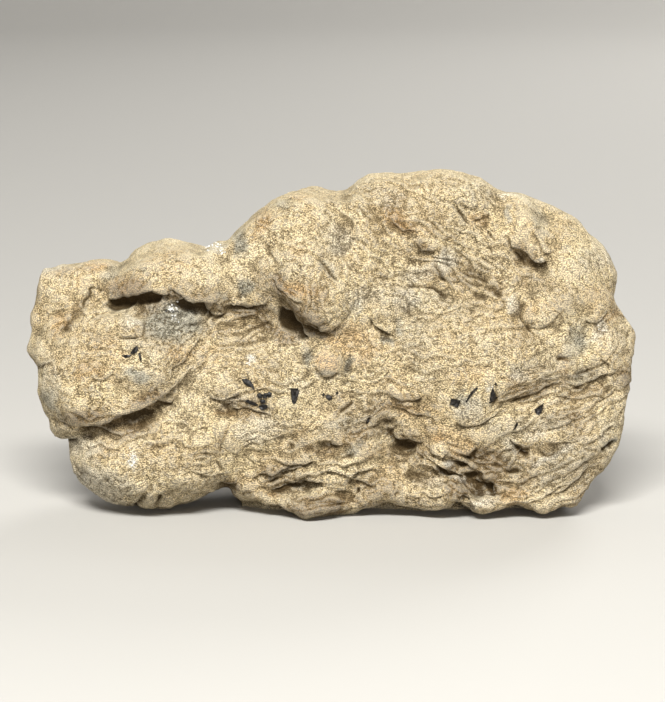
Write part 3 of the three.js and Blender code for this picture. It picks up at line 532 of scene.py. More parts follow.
# Tints: how strongly each colours the face at most, how much of it is on the back, and its
# patches on the face: across, up, half length, half width, direction, strength.
tints = {
    # gold: golden sand together with painted light, lifting places that fall in shade
    "goldAndLight": {"seed": 350, "most": 0.8, "onBack": 0.5, "places": [
        (-48, 26, 4, 2.2, 0, 0.8), (-15, 16, 5, 2.6, 0, 0.9), (4, 28, 3, 2, 0, 0.8),
        (-5, 27.6, 4, 2, 0, 0.6), (4, 47, 5, 3, 20, 0.7), (14, 50, 3, 2.4, 0, 0.7),
        (32, 47.4, 3, 2, 0, 0.5), (54, 57, 4, 5, -50, 0.8), (61, 38, 2, 4, 0, 0.8),
        (48, 22.4, 3, 1.4, 10, 0.5), (4, 62.4, 4, 2, 0, 0.5), (10, 38.6, 3, 2.6, 0, 0.6),
        (-52, 13, 3, 4, 20, 0.9), (-45, 4.6, 6, 2.6, -25, 0.9), (-24, 17, 3, 4, 0, 0.8),
        (-34, 7.4, 5, 2, 0, 0.6), (6, 10.8, 6, 1.4, 8, 0.7), (35, 22, 4, 2.4, 0, 0.8),
        (38, 30.4, 4, 1.6, 10, 0.7), (53, 35.6, 3, 5, 0, 1), (25, 55, 4, 4, 0, 0.8), (10, 54, 4, 3, 0, 0.6),
        (35, 60, 3, 3, 0, 0.6), (58, 19, 2.6, 5, 20, 0.7), (-8, 22.4, 3.6, 2.4, 0, 0.7),
        (-47, 7, 7, 4, -30, 0.8), (-55, 12, 2.6, 4, 0, 0.8), (-8, 26, 4, 5, 0, 0.8), (4, 44, 5, 5, 0, 0.6),
        (24, 53, 3, 2, 0, 0.9), (24, 58.4, 3.4, 1.6, 0, 0.7), (31, 26, 7, 3.4, 10, 0.8),
        (52, 39, 3.4, 4.6, 0, 0.7), (60, 20, 2, 4, 0, 0.5), (56, 50, 4, 6, 0, 0.5),
        (45, 62, 3, 2.4, 0, 0.5), (2, 57, 3, 3, 0, 0.4), (11, 55, 3, 2.4, 0, 0.5), (-20, 11, 5, 3, 0, 0.7),
        (-24, 20, 3, 3.4, 0, 0.7), (-58, 27, 3, 3, 0, 0.6), (17, 31, 5, 2.4, 0, 0.5),
        (39, 29.6, 3, 1.8, 20, 0.6), (16, 44, 4, 3, 0, 0.3), (-53, 24, 5, 2.4, 0, 0.5),
        (31, 20.4, 5, 2, 0, 0.5), (-16, 17.4, 4.6, 2.4, 0, 0.7), (60, 37, 2.4, 4.4, 0, 0.6),
        (-39, 32.5, 6, 1.4, 0, 0.4),
    ]},
    # umber: brown stain together with painted shade under the ledges, in the hollows and along the top
    # edges
    "umberAndShade": {"seed": 340, "most": 0.78, "onBack": 0.45, "places": [
        (-33, 42, 5, 2.2, 0, 0.6), (-47, 37.4, 4, 2, 0, 0.3), (-29, 33, 3, 1.8, 60, 0.4),
        (40, 51, 3, 1.2, -30, 0.5), (-6, 11.6, 3, 1.4, 0, 0.4), (-1.6, 13.8, 2.6, 1.2, 0, 0.6),
        (-36, 22.6, 4, 1.4, 28, 0.5), (-54, 41, 5, 1.2, 50, 0.6), (-30, 45.6, 7, 1.2, -8, 0.8),
        (8, 7, 4, 3, 0, 0.5), (41, 12, 4, 4, 20, 0.4), (14, 66, 6, 3, 0, 0.3),
        (-3.5, 39.4, 4.4, 2.2, -35, 0.95), (-27, 45, 6, 1.6, -4, 0.7), (-36, 43.4, 4, 1.3, 0, 0.8),
        (-28, 40.4, 4, 1.6, 0, 0.4), (-38, 24.4, 4.4, 1.5, 30, 0.9), (-51, 20.2, 4.4, 1.5, 0, 0.9),
        (-43.4, 16.8, 4, 1.6, 0, 0.7), (-12, 8.6, 3, 2, 0, 0.7), (-7, 13.6, 3, 3, 0, 0.5),
        (27, 6, 3.4, 3, 0, 0.9), (53, 4, 3, 4, 40, 0.7), (46, 9.6, 6, 3, 20, 0.45),
        (51.6, 19, 3, 3, 30, 0.6), (10, 22.6, 3.4, 2, 20, 0.7), (5, 16.6, 3.4, 2.4, 0, 0.7),
        (18.6, 13.6, 3, 3, 0, 0.6), (61.4, 29, 2, 2.4, 0, 0.8), (39.4, 37.4, 3, 2.6, -50, 0.4),
        (47.6, 44.4, 3, 2.8, 0, 0.35), (8, 66, 8, 2.4, 0, 0.4), (-10, 47.6, 3.6, 2.2, -45, 0.9),
        (14.6, 60.8, 3.6, 1, -28, 0.8), (33, 11, 6, 2.6, -10, 0.9), (40, 54, 3, 1.8, -40, 0.8),
        (19.4, 56, 2.8, 1, -20, 0.7), (-33, 52, 10, 3, 4, 0.3), (-24, 45.6, 5, 1.8, 0, 0.6),
        (-31, 47.4, 4, 1.8, 0, 0.5), (28, 9, 5, 3, 0, 0.8), (51, 12, 5, 6, 0, 0.4),
        (53, 25.6, 6, 1.4, 14, 0.5), (42, 26.4, 8, 1.8, 20, 0.7), (0, 33, 3, 2.6, 0, 0.35),
        (14, 13, 3, 3, 0, 0.5), (7, 2.4, 5, 1.6, 0, 0.7), (-47, 19.6, 5, 1.2, 4, 0.7),
        (38, 6, 5, 2.4, 0, 0.5), (26, 4, 3, 1.8, 0, 0.5), (-35, 43, 6, 2, 0, 0.5),
        (-36, 36, 6, 2.4, 0, 0.45), (-48, 41, 4, 2, 40, 0.35), (-14, 48, 4, 2.4, -60, 0.55),
        (-4, 43.4, 3, 3, -50, 0.6), (-23, 26, 4, 1.2, 0, 0.5), (-38, 26, 3, 1.2, 10, 0.5),
        (13, 65, 4, 2.6, -10, 0.6), (2, 22, 5, 1.8, 10, 0.5), (10, 24.4, 4, 1.6, 0, 0.5),
        (-9, 10, 4, 1.8, 0, 0.55), (0, 13.4, 3, 1.8, 0, 0.7), (46, 8, 5, 1.8, 20, 0.5),
        (36, 12.6, 3, 2, 0, 0.4), (20, 8, 4, 2, 0, 0.5), (43, 30.6, 4, 1.2, 15, 0.4),
        (22, 40.6, 5, 1.8, 0, 0.35), (-54, 51.6, 8, 1.4, 4, 0.4), (-31, 55.6, 8, 2, 0, 0.4),
        (3, 66.6, 6, 2.2, 0, 0.4), (24, 69.4, 7, 2, 0, 0.35), (34, 5, 3, 2, 0, 0.5),
        (50, 2, 4, 1.6, 0, 0.4), (-12, 40, 4, 2, -30, 0.6), (15, 17, 4, 1.6, -10, 0.5),
        (61.6, 28, 1.6, 3, 0, 0.4), (41, 49, 3, 1.6, -20, 0.5), (-2, 2, 7, 2.4, 4, 1),
        (10, 5.4, 5, 2.6, 0, 0.7), (18, 2.4, 5, 1.4, 0, 0.5), (22.4, 16.4, 2.6, 2, 0, 0.6),
        (17, 11.6, 2.4, 2, 0, 0.5), (5, 19.6, 6, 2.4, 0, 0.45), (-17, 21.6, 4, 1.6, 0, 0.7),
        (-6, 15.6, 3, 2.4, 0, 0.5), (40, 10.4, 5, 2.4, 10, 0.5), (49, 20.4, 7, 2, 12, 0.45),
        (44, 48, 3, 2.6, 0, 0.45), (28, 43.6, 7, 3.4, 0, 0.35), (-42.5, 47.6, 5, 2, 6, 1),
        (-39.4, 38.4, 4, 1.8, 0, 0.4), (-10, 50, 4, 2.4, -30, 0.35), (-9, 38, 4, 2.2, -20, 0.9),
        (-18, 36, 4, 1.8, 20, 0.4), (8, 34, 3, 2.4, 0, 0.3), (-40, 28.6, 3, 1.4, 10, 0.35),
        (-50, 30.6, 4, 1.2, 0, 0.35), (50, 24, 6, 1, 8, 0.35), (-23, 38.6, 5, 1, 18, 0.35),
        (-32, 31.4, 1.4, 3, 20, 0.45), (-43.5, 18.7, 7, 2, -4, 0.8), (-42, 46, 4.6, 1.6, 0, 0.9),
        (-41, 44.8, 5.4, 1.2, 4, 1), (-35, 45, 3, 1.4, 0, 1), (-7, 41, 5, 2.6, -48, 0.7),
        (-33, 44.8, 6, 1.5, -4, 0.8), (-24, 43, 4, 1.2, -4, 0.6), (-17, 42.4, 5, 1.6, 0, 0.8),
        (-6, 11, 2, 2.4, 0, 0.5), (-18.6, 23.8, 5, 1.2, 0, 0.8), (-4, 13.4, 2.6, 1.4, 0, 0.8),
        (42, 8, 6, 1.8, 12, 0.6), (30, 5.6, 4, 2.6, 0, 0.6), (5.6, 18, 3, 2, 20, 0.7),
        (-5.5, 46.5, 5, 3.2, 0, 0.5), (32, 9, 5, 3.6, 0, 0.8), (46.5, 14, 3.6, 1.6, 15, 0.4),
        (8, 19, 5.5, 3, 20, 0.6), (26, 51, 10, 4, -20, 0.6), (41, 53, 4, 2.4, -30, 0.6),
        (34.2, 47, 2.4, 1.1, -35, 0.8), (19, 62, 13, 4, -10, 0.35), (24, 9.3, 2.2, 0.8, 0, 0.8),
        (44, 26, 6.5, 1.5, 20, 0.7), (53, 29.2, 4, 1.2, 12, 0.5), (36.5, 23.8, 3, 1.4, 20, 0.5),
        (40.4, 13.4, 2.6, 1.1, -38, 0.8), (-21.5, 5.6, 3, 1.4, 0, 0.7), (-8, 7, 7, 2.6, 14, 0.5),
        (7, 6.6, 4, 1, -12, 0.7), (15.9, 14.6, 3, 1.4, 0, 0.6), (12.6, 17.4, 2.2, 1.1, -40, 0.6),
        (15, 22.7, 4, 1.2, -18, 0.6), (16, 24.6, 3.4, 0.7, 0, 0.6), (2, 24.8, 2, 0.9, 0, 0.4),
        (34, 44, 4, 1.6, 10, 0.4), (-22.5, 16, 4.4, 0.9, 62, 0.5), (17, 9, 4, 2, 10, 0.35),
        (-34.5, 29, 4, 1.6, 58, 0.35), (48.4, 32.6, 1.4, 0.6, -8, 0.8), (41.2, 38, 3.4, 0.8, -58, 0.5),
        (34, 5.6, 1.8, 1, -50, 0.7), (53.4, 21.6, 2.4, 1, 40, 0.4), (24, 58, 5, 1.4, -20, 0.4),
        (-49, 16.6, 3, 1.2, 5, 0.4), (56, 41, 2.6, 0.8, 10, 0.4), (17, 55.4, 2.4, 1, 0, 0.4),
        (-27, 43.4, 12, 1, -4, 0.5), (14.6, 48.6, 6, 2.2, -10, 0.35),
    ]},
    "rust": {"seed": 320, "most": 0.6, "onBack": 0.45, "places": [
        (-56, 40, 2.6, 2, 60, 0.6), (-48, 52, 3, 1.5, 20, 0.55), (-52, 48, 2, 1.5, 0, 0.45),
        (-14, 61, 3.4, 2, 70, 0.85), (-6, 66, 2.4, 1, 0, 0.6), (-52, 29, 2.6, 1.3, 0, 0.6),
        (-12, 4, 1.3, 1, 0, 0.8), (5.5, 36, 6, 4, 0, 0.6), (-0.5, 31.6, 3, 3, 0, 0.85),
        (-42.5, 48.4, 5, 2.2, 6, 0.4), (-6.6, 47, 4, 2, -20, 0.7), (-22, 21.4, 3, 0.8, 0, 0.8),
        (15, 61, 4, 2, -20, 0.6), (-50, 30.6, 4, 1.8, 0, 0.6), (-31, 34, 3, 2.4, 0, 0.5),
        (17, 22, 6, 2, -10, 0.4), (24, 16.6, 4, 2, 0, 0.5), (-7, 55, 4, 3, 0, 0.3),
        (18, 59.4, 6, 1.6, -10, 0.4), (59.5, 36, 6, 4, 80, 0.3), (58.6, 41.4, 2.6, 1.4, 20, 0.6),
        (23.2, 16.2, 2, 0.7, 10, 0.8), (38, 3.6, 2.6, 1.8, 20, 0.7), (27.5, 14.4, 3, 2.6, 0, 0.6),
        (13, 8.4, 3.4, 2.2, 0, 0.35), (15, 60, 3.2, 1, -20, 0.7), (8, 13, 3.2, 2.2, 10, 0.4),
        (-33, 52, 8, 3.4, 0, 0.35), (-47, 33, 5, 3, 0, 0.3), (40, 28.6, 5, 2.2, 20, 0.35),
        (43, 43.6, 4, 2.6, 0, 0.4), (55, 44.6, 4, 3, 0, 0.35), (29, 28.6, 5, 3, 0, 0.4),
        (-45, 14, 6, 2.4, 10, 0.3), (31, 61.5, 2.6, 1.4, 20, 0.6), (48.6, 31, 1.8, 1.2, 20, 0.7),
        (12, 27, 5, 2, 0, 0.3), (-25, 33, 4, 3, 40, 0.35), (18, 33, 5, 3, 0, 0.3),
    ]},
    "grey": {"seed": 310, "most": 0.8, "onBack": 0.5, "places": [
        (-40, 29, 2.6, 1.4, -10, 0.9), (-57.6, 23, 3.6, 1.3, -62, 0.6), (2, 18.6, 6, 2.2, 12, 0.5),
        (4.6, 13, 2.6, 1.5, 0, 0.6), (18, 37, 4, 8, 10, 0.42), (44, 31.6, 6, 3.4, 20, 0.38),
        (12, 45, 5, 5, 0, 0.35), (0, 58, 4, 6, 0, 0.35), (-38, 35.6, 5, 2.4, 0, 0.4),
        (-32.6, 40.4, 7, 4.2, 0, 1), (-58, 24.5, 2.3, 2.6, 0, 0.55), (-45, 51, 3.4, 1.2, 50, 0.5),
        (-18.5, 57, 3.2, 1.4, 80, 0.7), (-10, 64.7, 3, 1, 5, 0.6), (-17.5, 47.4, 2.2, 1.3, 0, 0.8),
        (-22.5, 46, 1.2, 1, 0, 0.6), (-0.6, 51.4, 3.8, 0.7, -55, 0.6), (5.5, 43, 2.4, 1, 40, 0.5),
        (-4.2, 32.5, 2.2, 1, 80, 0.9), (3.3, 31, 2.4, 1, 75, 0.9), (-1, 29.6, 2.6, 0.8, 0, 0.7),
        (14.5, 39.5, 2.3, 1.2, 80, 0.7), (12.3, 36, 1.1, 0.9, 0, 0.7), (36.9, 62.6, 2.1, 1, 88, 0.75),
        (43.3, 62.3, 3.2, 1.8, -70, 0.6), (44, 58.6, 1.8, 1.2, -60, 0.5), (51, 35.4, 4.6, 2.8, 70, 0.6),
        (52.5, 29, 3.4, 1.2, 10, 0.6), (29, 22.8, 4.2, 3.2, 0, 0.45), (50, 10, 8, 5, 20, 0.45),
        (45, 19, 6, 3, 10, 0.4), (27.6, 24, 1.6, 1.4, 60, 0.8), (-21.5, 14, 2, 2, 0, 0.3),
        (-38.5, 50.8, 0.6, 0.9, 0, 0.6), (5, 14, 2.6, 1.8, 10, 0.7), (34.5, 18.3, 4.5, 2.2, -20, 0.45),
        (58.8, 15.3, 1.4, 0.8, 30, 0.8), (31, 67.5, 3.5, 2.6, -30, 0.4), (7, 68.5, 3.6, 1.6, 10, 0.4),
        (36, 19, 3, 1.6, -40, 0.4), (57, 55.5, 3, 1.6, -50, 0.3), (24, 45, 7, 2, -15, 0.35),
        (37.6, 12.6, 3.2, 1.4, -70, 0.35), (-12, 30, 4, 3, 0, 0.3),
    ]},
    # pale: whitish patches together with painted highlights on ridges and painted light on the foot lobe at
    # the lower left
    "pale": {"seed": 330, "most": 0.8, "onBack": 0.4, "places": [
        (-7, 27, 4, 2.4, 0, 0.35), (39, 29, 3, 2, 20, 0.35), (48, 24, 3, 1.4, 12, 0.3),
        (-22, 22, 2, 1, 0, 0.4), (-58, 28, 2, 4, 0, 0.4), (-45, 6, 6, 2.6, -30, 0.5),
        (-14, 17.4, 6, 3, 0, 0.4), (60, 36, 3, 5, 0, 0.3), (-49, 5.6, 7, 4, -30, 0.7),
        (-52, 14.6, 4, 3, 0, 0.5), (24, 53, 2.6, 2.4, 0, 0.7), (2, 57, 3, 4, 0, 0.5),
        (16, 44.4, 3, 3, 0, 0.5), (18, 50, 4, 2.4, 0, 0.5), (8, 46, 4, 2, 20, 0.4),
        (39.4, 29.4, 3, 1.6, 15, 0.5), (57, 55, 3, 7, -50, 0.4), (61, 47, 2, 7, 10, 0.4),
        (-41.2, 11.7, 2.2, 1.1, 85, 0.8), (-16.7, 32.6, 1.1, 0.8, 80, 0.8), (-23.8, 56, 2.4, 1.5, 0, 0.85),
        (56.3, 38.8, 2.2, 1.5, 80, 0.6), (32, 2.8, 3.4, 1.4, 5, 0.55), (37.6, 14, 2.4, 0.8, -75, 0.35),
        (46, 12, 5, 0.9, 26, 0.7), (15.4, 23.7, 2, 0.7, -8, 0.35), (24, 10.6, 1.2, 0.5, 0, 0.9),
        (26.6, 7.6, 1.5, 0.6, 0, 0.6), (-59, 51.8, 5, 0.9, 5, 0.6), (-41.5, 40.5, 2.4, 1.8, 60, 0.6),
        (29, 21.6, 4, 2.6, 0, 0.4), (38, 43.2, 1.8, 1.6, 40, 0.6), (50, 14.6, 5, 0.9, 20, 0.4),
        (58, 17.5, 4, 1, 55, 0.4), (12, 66.5, 4, 2.6, 0, 0.35), (38, 66.2, 4, 0.8, -8, 0.5),
        (58, 55, 5, 0.8, -62, 0.5), (-6, 37.3, 2.2, 1.2, -50, 0.3), (33.2, 27, 0.8, 0.4, 60, 1),
        (43, 16.6, 3, 1.4, 20, 0.4), (12, 20, 1.6, 1, 0, 0.3), (20, 6.6, 4, 1.4, 0, 0.35),
        (31, 5, 1.2, 0.8, 0, 0.5), (-20, 24, 3, 1.6, 10, 0.35), (43.5, 53.1, 0.8, 0.6, 0, 0.8),
    ]},
}


def turned(dx, dy, degrees):
    c, s = math.cos(math.radians(degrees)), math.sin(math.radians(degrees))
    return dx * c + dy * s, -dx * s + dy * c


def inEllipse(places, spot, soft):
    x, up, long, wide, turn = spot[:5]
    along, over = turned(places[:, 0] - x, places[:, 1] - up, turn)
    return 1 - smoothStep(1 - soft, 1 + soft, np.hypot(along / long, over / wide))


def ledgeWave(value, drop=0.14):
    # drops sharply at every whole number and climbs back slowly
    part = value - np.floor(value)
    return np.where(part < drop, part / drop, 1 - (part - drop) / (1 - drop))


grain = {
    "bend": (7.0, 0.5),     # size of the bends in the layers, and their share of the spacing
    "stretch": 2.6,         # how far ledges and wrinkles are drawn out
    "foldSharp": 0.16,
    "foldDepth": 0.9,
    "patches": 5.0,         # mm, size of the areas with sharp folds
}


def grainRelief(places, frontShare):
    rise = np.zeros(len(places))
    rough = np.zeros(len(places))
    size, bent = grain["bend"]
    bend = np.stack([layeredNoise(places, size, seed, 2) for seed in (41, 44)], axis=1)
    patchy = smoothStep(-0.35, 0.5, waveNoise(places, grain["patches"], 47))
    for number, (x, up, long, wide, turn, spacing, ledge, wrinkle, crumbly) in enumerate(grainPlaces):
        share = inEllipse(places, (x, up, long, wide, 0), 0.5) * frontShare
        near = np.nonzero(share > 0.01)[0]
        moved = places[near, :2] + bend[near] * spacing * bent - (x, up)
        along, over = turned(moved[:, 0], moved[:, 1], turn)
        drawn = np.stack([along / grain["stretch"], over, places[near, 2] * 0.7], axis=1)
        phase = over / spacing + 0.8 * waveNoise(drawn, spacing * 1.3, 100 + number)
        broken = smoothStep(-0.4, 0.5, waveNoise(drawn, spacing * 1.7, 150 + number))
        steps = (ledgeWave(phase) - 0.5) * broken
        crease = waveNoise(drawn, spacing * 0.6, 200 + number)
        sharp = grain["foldDepth"] * np.exp(-(crease / grain["foldSharp"]) ** 2)
        fold = 0.5 * crease - sharp * patchy[near]
        rise[near] += share[near] * (ledge * steps + wrinkle * fold)
        rough[near] = np.maximum(rough[near], share[near] * crumbly)
    return rise, rough


stroke = {
    "wander": (1.8, 0.2),    # size and amount of the strokes' wander, mm
    "uneven": (2.2, 0.45),   # size and amount of the change in their strength
    "ends": 0.16,            # share of the length over which each end fades
    "lipEdge": 0.22,         # mm, how sharp the edge of a lip is
    "proud": 0.30,           # share of its height above the edge
    "under": 0.80,           # and of its depth below it
    "overhang": 0.55,        # how far it hangs over
    "fullHeight": 1.4,       # mm, higher lips stand no further out
    "crackShadeAndDirt": 1.3,
}


def strokeRelief(places, frontShare):
    rise = np.zeros(len(places))
    slide = np.zeros((len(places), 2))
    shadeAndDirt = np.zeros(len(places))
    size, wander = stroke["wander"]
    flat = places[:, :2] + waves(places, size, (51, 52)) * wander
    size, uneven = stroke["uneven"]
    strength = 0.8 + uneven * waveNoise(places, size, 53)
    for kind, strokes in (("lip", lips), ("crack", cracks)):
        for height, width, points in strokes:
            line = smoothLine(points)
            reach = width * 5 + 1.0
            low, high = line.min(0) - reach, line.max(0) + reach
            near = np.nonzero(np.all((flat > low) & (flat < high), axis=1) & (frontShare > 0.01))[0]
            distance, share, across = fromLine(flat[near], line)
            ends = smoothStep(0, stroke["ends"], share) * smoothStep(0, stroke["ends"], 1 - share)
            reachOut = np.exp(-np.maximum(np.abs(distance) - width, 0) ** 2 / (width * 4) ** 2)
            amount = height * ends * strength[near] * frontShare[near] * reachOut
            if kind == "lip":
                upper = 0.5 + 0.5 * np.tanh(distance / stroke["lipEdge"])
                proud = stroke["proud"] * min(1.0, stroke["fullHeight"] / height)
                proud = proud * np.exp(-np.abs(distance) / (width * 4.0))
                under = -stroke["under"] * np.exp(-np.abs(distance) / (width * 1.5))
                rise[near] += amount * (upper * proud + (1 - upper) * under)
                push = amount * stroke["overhang"] * np.exp(-np.abs(distance) / width) * upper
                slide[near] -= across * push[:, None]
                # a dark band just under the edge: painted shadow under the overhang, with dirt
                soiledAndShaded = np.clip(amount, 0, 1) * np.exp(-((distance + width * 0.4) / (width * 0.8)) ** 2)
            else:
                groove = np.exp(-(distance / width) ** 2)
                rise[near] -= amount * groove
                # the groove darkens: dirt together with painted shade in the crack
                soiledAndShaded = np.clip(amount * stroke["crackShadeAndDirt"], 0, 1) * groove
            shadeAndDirt[near] = np.maximum(shadeAndDirt[near], soiledAndShaded)
    return rise, slide, shadeAndDirt


def bumpRelief(places, frontShare, wander=0.3):
    rise = np.zeros(len(places))
    shadeAndDirt = np.zeros(len(places))
    warped = places.copy()
    warped[:, :2] += wander * waves(places, 1.3, (61, 62))
    for spot in swells:
        rise += inEllipse(warped, spot, 0.95) * frontShare * spot[5]
    for spot in bumps:
        share = inEllipse(warped, spot, 0.6) * frontShare
        rise += share * spot[5]
        # pits darken: dirt together with painted shade in the pit
        if spot[5] < 0:
            shadeAndDirt = np.maximum(shadeAndDirt, share * min(1.0, -spot[5]))
    return rise, shadeAndDirt


# Plainer lobes with a few creases, for the sides that the face's marks don't reach, in mm.
back = {
    "lobes": (13.0, 1.0),         # size, height
    "grain": (4.5, 0.45),
    "drawnOut": (0.45, 1.0, 0.8),
    "creases": (6.0, 0.08, 0.35),     # size, sharpness, depth
    "creasePatches": 9.0,
    "rough": (14.0, 0.8),         # size of the crumbly areas, and how crumbly
}


def backRelief(places):
    flowing = places * back["drawnOut"]
    size, sharp, depth = back["creases"]
    patchy = smoothStep(-0.1, 0.5, waveNoise(places, back["creasePatches"], 74))
    creased = np.exp(-(waveNoise(flowing, size, 73) / sharp) ** 2) * patchy
    size, height = back["lobes"]
    lobes = height * waveNoise(places, size, 75)
    size, height = back["grain"]
    return lobes + height * layeredNoise(flowing, size, 71) - depth * creased


def addLumps(rise, rough, places):
    for seed, size, height, folded in stone["lumps"]:
        wave = waveNoise(places, size, seed)
        lump = wave * (1 - folded) + (2 * np.abs(wave) - 0.6) * folded
        rise += height * lump * (stone["smoothLumps"] + rough)
    size, height = stone["crumbs"]
    rough *= smoothStep(-0.5, 0.4, waveNoise(places, 4.0, 16))
    shakeSize, shake = stone["crumbShake"]
    shaken = places + shake * waves(places, shakeSize, (17, 18, 19))
    for seed, part in stone["crumbLayers"]:
        middle, border, level = cellNoise(shaken, size * part, seed)
        block = (level - 0.5) * smoothStep(0, 0.18, border) + 0.35 * (0.5 - middle)
        rise += height * part * (stone["smoothCrumbs"] + rough) * block


def tintMask(places, tint, frontShare):
    seed = tint["seed"]
    ragged = places.copy()
    for axis in (0, 1):
        fine = 0.45 * waveNoise(places, 1.1, seed + 3 + axis)
        ragged[:, axis] += 1.1 * waveNoise(places, 3.1, seed + axis) + fine
    mask = np.zeros(len(places))
    for spot in tint["places"]:
        mask = np.maximum(mask, inEllipse(ragged, spot, 0.6) * spot[5])
    patchy = smoothStep(0.15, 0.75, layeredNoise(places, 11.0, seed + 7)) * tint["onBack"]
    return mask * frontShare + patchy * (1 - 0.55 * frontShare)


def evenMesh(piece):
    remesh = piece.modifiers.new("even mesh", "REMESH")
    remesh.mode = "VOXEL"
    remesh.voxel_size = stone["voxel"] * mm
    bakeModifiers(piece)
    points, _, edges = meshArrays(piece.data)
    softened = relax(points, edges, stone["softening"])
    kept = 1 - smoothStep(0.0, stone["softFrom"], points[:, 2:3] / mm)
    placeVertices(piece.data, softened + (points - softened) * kept)
    report(f"even mesh of {len(points)} points")


def workRelief(mesh):
    points, normals, _ = meshArrays(mesh)
    places = toFace(points)
    marks = asSeen(places)
    outward = turnToFace(normals)
    frontShare = smoothStep(*face["wrap"], places[:, 2])
    facing = frontShare * smoothStep(*face["turnedAway"], outward[:, 2])
    rise, rough = grainRelief(marks, frontShare)
    rise += (1 - frontShare) * backRelief(places)
    size, most = back["rough"]
    rough = np.maximum(rough, (1 - frontShare) * smoothStep(-0.2, 0.6, waveNoise(places, size, 72)) * most)
    addLumps(rise, rough, places)
    strokeRise, slide, shadeAndDirt = strokeRelief(marks, facing)
    bumpRise, bumpShadeAndDirt = bumpRelief(marks, facing)
    lifted = smoothStep(*stone["contact"], points[:, 2] / mm)
    moved = places + outward * ((rise + strokeRise + bumpRise) * lifted)[:, None]
    moved[:, :2] += slide * lifted[:, None]
    points = fromFace(moved)
    points[:, 2] = np.maximum(points[:, 2], 0)
    placeVertices(mesh, points)
    # the dirt and painted shade of the lips, cracks and pits
    saveAttribute(mesh, "shadeAndDirt", np.maximum(shadeAndDirt, bumpShadeAndDirt))
    report("relief worked")


def thinOut(piece):
    thin = piece.modifiers.new("thin out", "DECIMATE")
    thin.ratio = stone["triangles"] / (2 * len(piece.data.polygons))
    thin.use_collapse_triangulate = True
    bakeModifiers(piece)
    report(f"thinned out to {len(piece.data.polygons)} faces")


def markColours(mesh):
    points, normals, edges = meshArrays(mesh)
    marks = asSeen(toFace(points))
    outward = turnToFace(normals)
    frontShare = smoothStep(*face["wrap"], marks[:, 2])
    smoothed = points
    # these depths later darken the colour: soil together with painted shade
    for name, (rounds, full) in stone["hollows"].items():
        smoothed = relax(smoothed, edges, rounds)
        depth = ((smoothed - points) * normals).sum(axis=1) / (full * mm)
        saveAttribute(mesh, name, depth)
        if name == "crease":
            # the crests are paled in the material: a painted highlight on the ridges
            saveAttribute(mesh, "crestHighlight", -depth)
    # surfaces facing up are paled: dust together with painted light on the tops
    facingUp = smoothStep(0.2, 0.7, outward[:, 1])
    saveAttribute(mesh, "dustAndTopLight", facingUp * smoothStep(-0.8, -0.35, -outward[:, 2]))
    for name, tint in tints.items():
        saveAttribute(mesh, name + "Tint", tintMask(marks, tint, frontShare))
    report("creases and tints marked")


def makeStone(node):
    piece = addToScene("coprolite_stone", node.data.copy())
    piece.data.materials.clear()
    evenMesh(piece)
    workRelief(piece.data)
    thinOut(piece)
    markColours(piece.data)
    piece.data.polygons.foreach_set("use_smooth", np.ones(len(piece.data.polygons), bool))
    piece.data.update()
    return piece


# Paint and materials.
def paint(code):
    parts = [int(code[i:i + 2], 16) / 255 for i in (1, 3, 5)]
    return tuple(c / 12.92 if c < 0.04045 else ((c + 0.055) / 1.055) ** 2.4 for c in parts) + (1.0,)


def newNode(tree, kind, place, **settings):
    node = tree.nodes.new("ShaderNode" + kind)
    node.location = place
    for name, value in settings.items():
        setattr(node, name, value)
    return node


def newMaterial(name, place=(0, 0)):
    material = bpy.data.materials.new(name)
    material.use_nodes = True
    shader = material.node_tree.nodes["Principled BSDF"]
    shader.location = place
    material.node_tree.nodes["Material Output"].location = (place[0] + 300, place[1])
    return material, material.node_tree, shader


def plug(tree, node, **values):
    # each value is a socket to link or a number to set; an underscore stands for a space
    for name, value in values.items():
        socket = node.inputs[name.replace("_", " ")]
        if isinstance(value, bpy.types.NodeSocket):
            tree.links.new(value, socket)
        else:
            socket.default_value = value
    return node


def mathNode(tree, operation, place, first, second=None, clamp=False):
    node = newNode(tree, "Math", place, operation=operation, use_clamp=clamp)
    for socket, value in zip(node.inputs, (first, second)):
        if isinstance(value, bpy.types.NodeSocket):
            tree.links.new(value, socket)
        elif value is not None:
            socket.default_value = value
    return node.outputs[0]


def rangeNode(tree, place, value, fromLow, fromHigh, toLow=0.0, toHigh=1.0):
    node = newNode(tree, "MapRange", place)
    plug(tree, node, Value=value, From_Min=fromLow, From_Max=fromHigh, To_Min=toLow, To_Max=toHigh)
    return node.outputs[0]


def mixNode(tree, place, share, first, second, blend="MIX"):
    node = newNode(tree, "Mix", place, data_type="RGBA", blend_type=blend)
    for number, value in ((0, share), (6, first), (7, second)):
        if isinstance(value, bpy.types.NodeSocket):
            tree.links.new(value, node.inputs[number])
        else:
            node.inputs[number].default_value = value
    return node.outputs[2]


def noiseNode(tree, place, spot, **values):
    return plug(tree, newNode(tree, "TexNoise", place), Vector=spot, **values)


def bumpNode(tree, place, height, strength, distance):
    node = newNode(tree, "Bump", place)
    return plug(tree, node, Height=height, Strength=strength, Distance=distance)


def newGroup(name, inputs, outputs):
    group = bpy.data.node_groups.new(name, "ShaderNodeTree")
    for socket, value in inputs.items():
        made = group.interface.new_socket(name=socket, in_out="INPUT", socket_type="NodeSocketFloat")
        made.default_value = value
    for socket in outputs:
        group.interface.new_socket(name=socket, in_out="OUTPUT", socket_type="NodeSocketFloat")
    start, end = group.nodes.new("NodeGroupInput"), group.nodes.new("NodeGroupOutput")
    start.location, end.location = (-900, 0), (700, 0)
    return group, start, end


def useGroup(tree, group, place, **values):
    return plug(tree, newNode(tree, "Group", place, node_tree=group), **values)


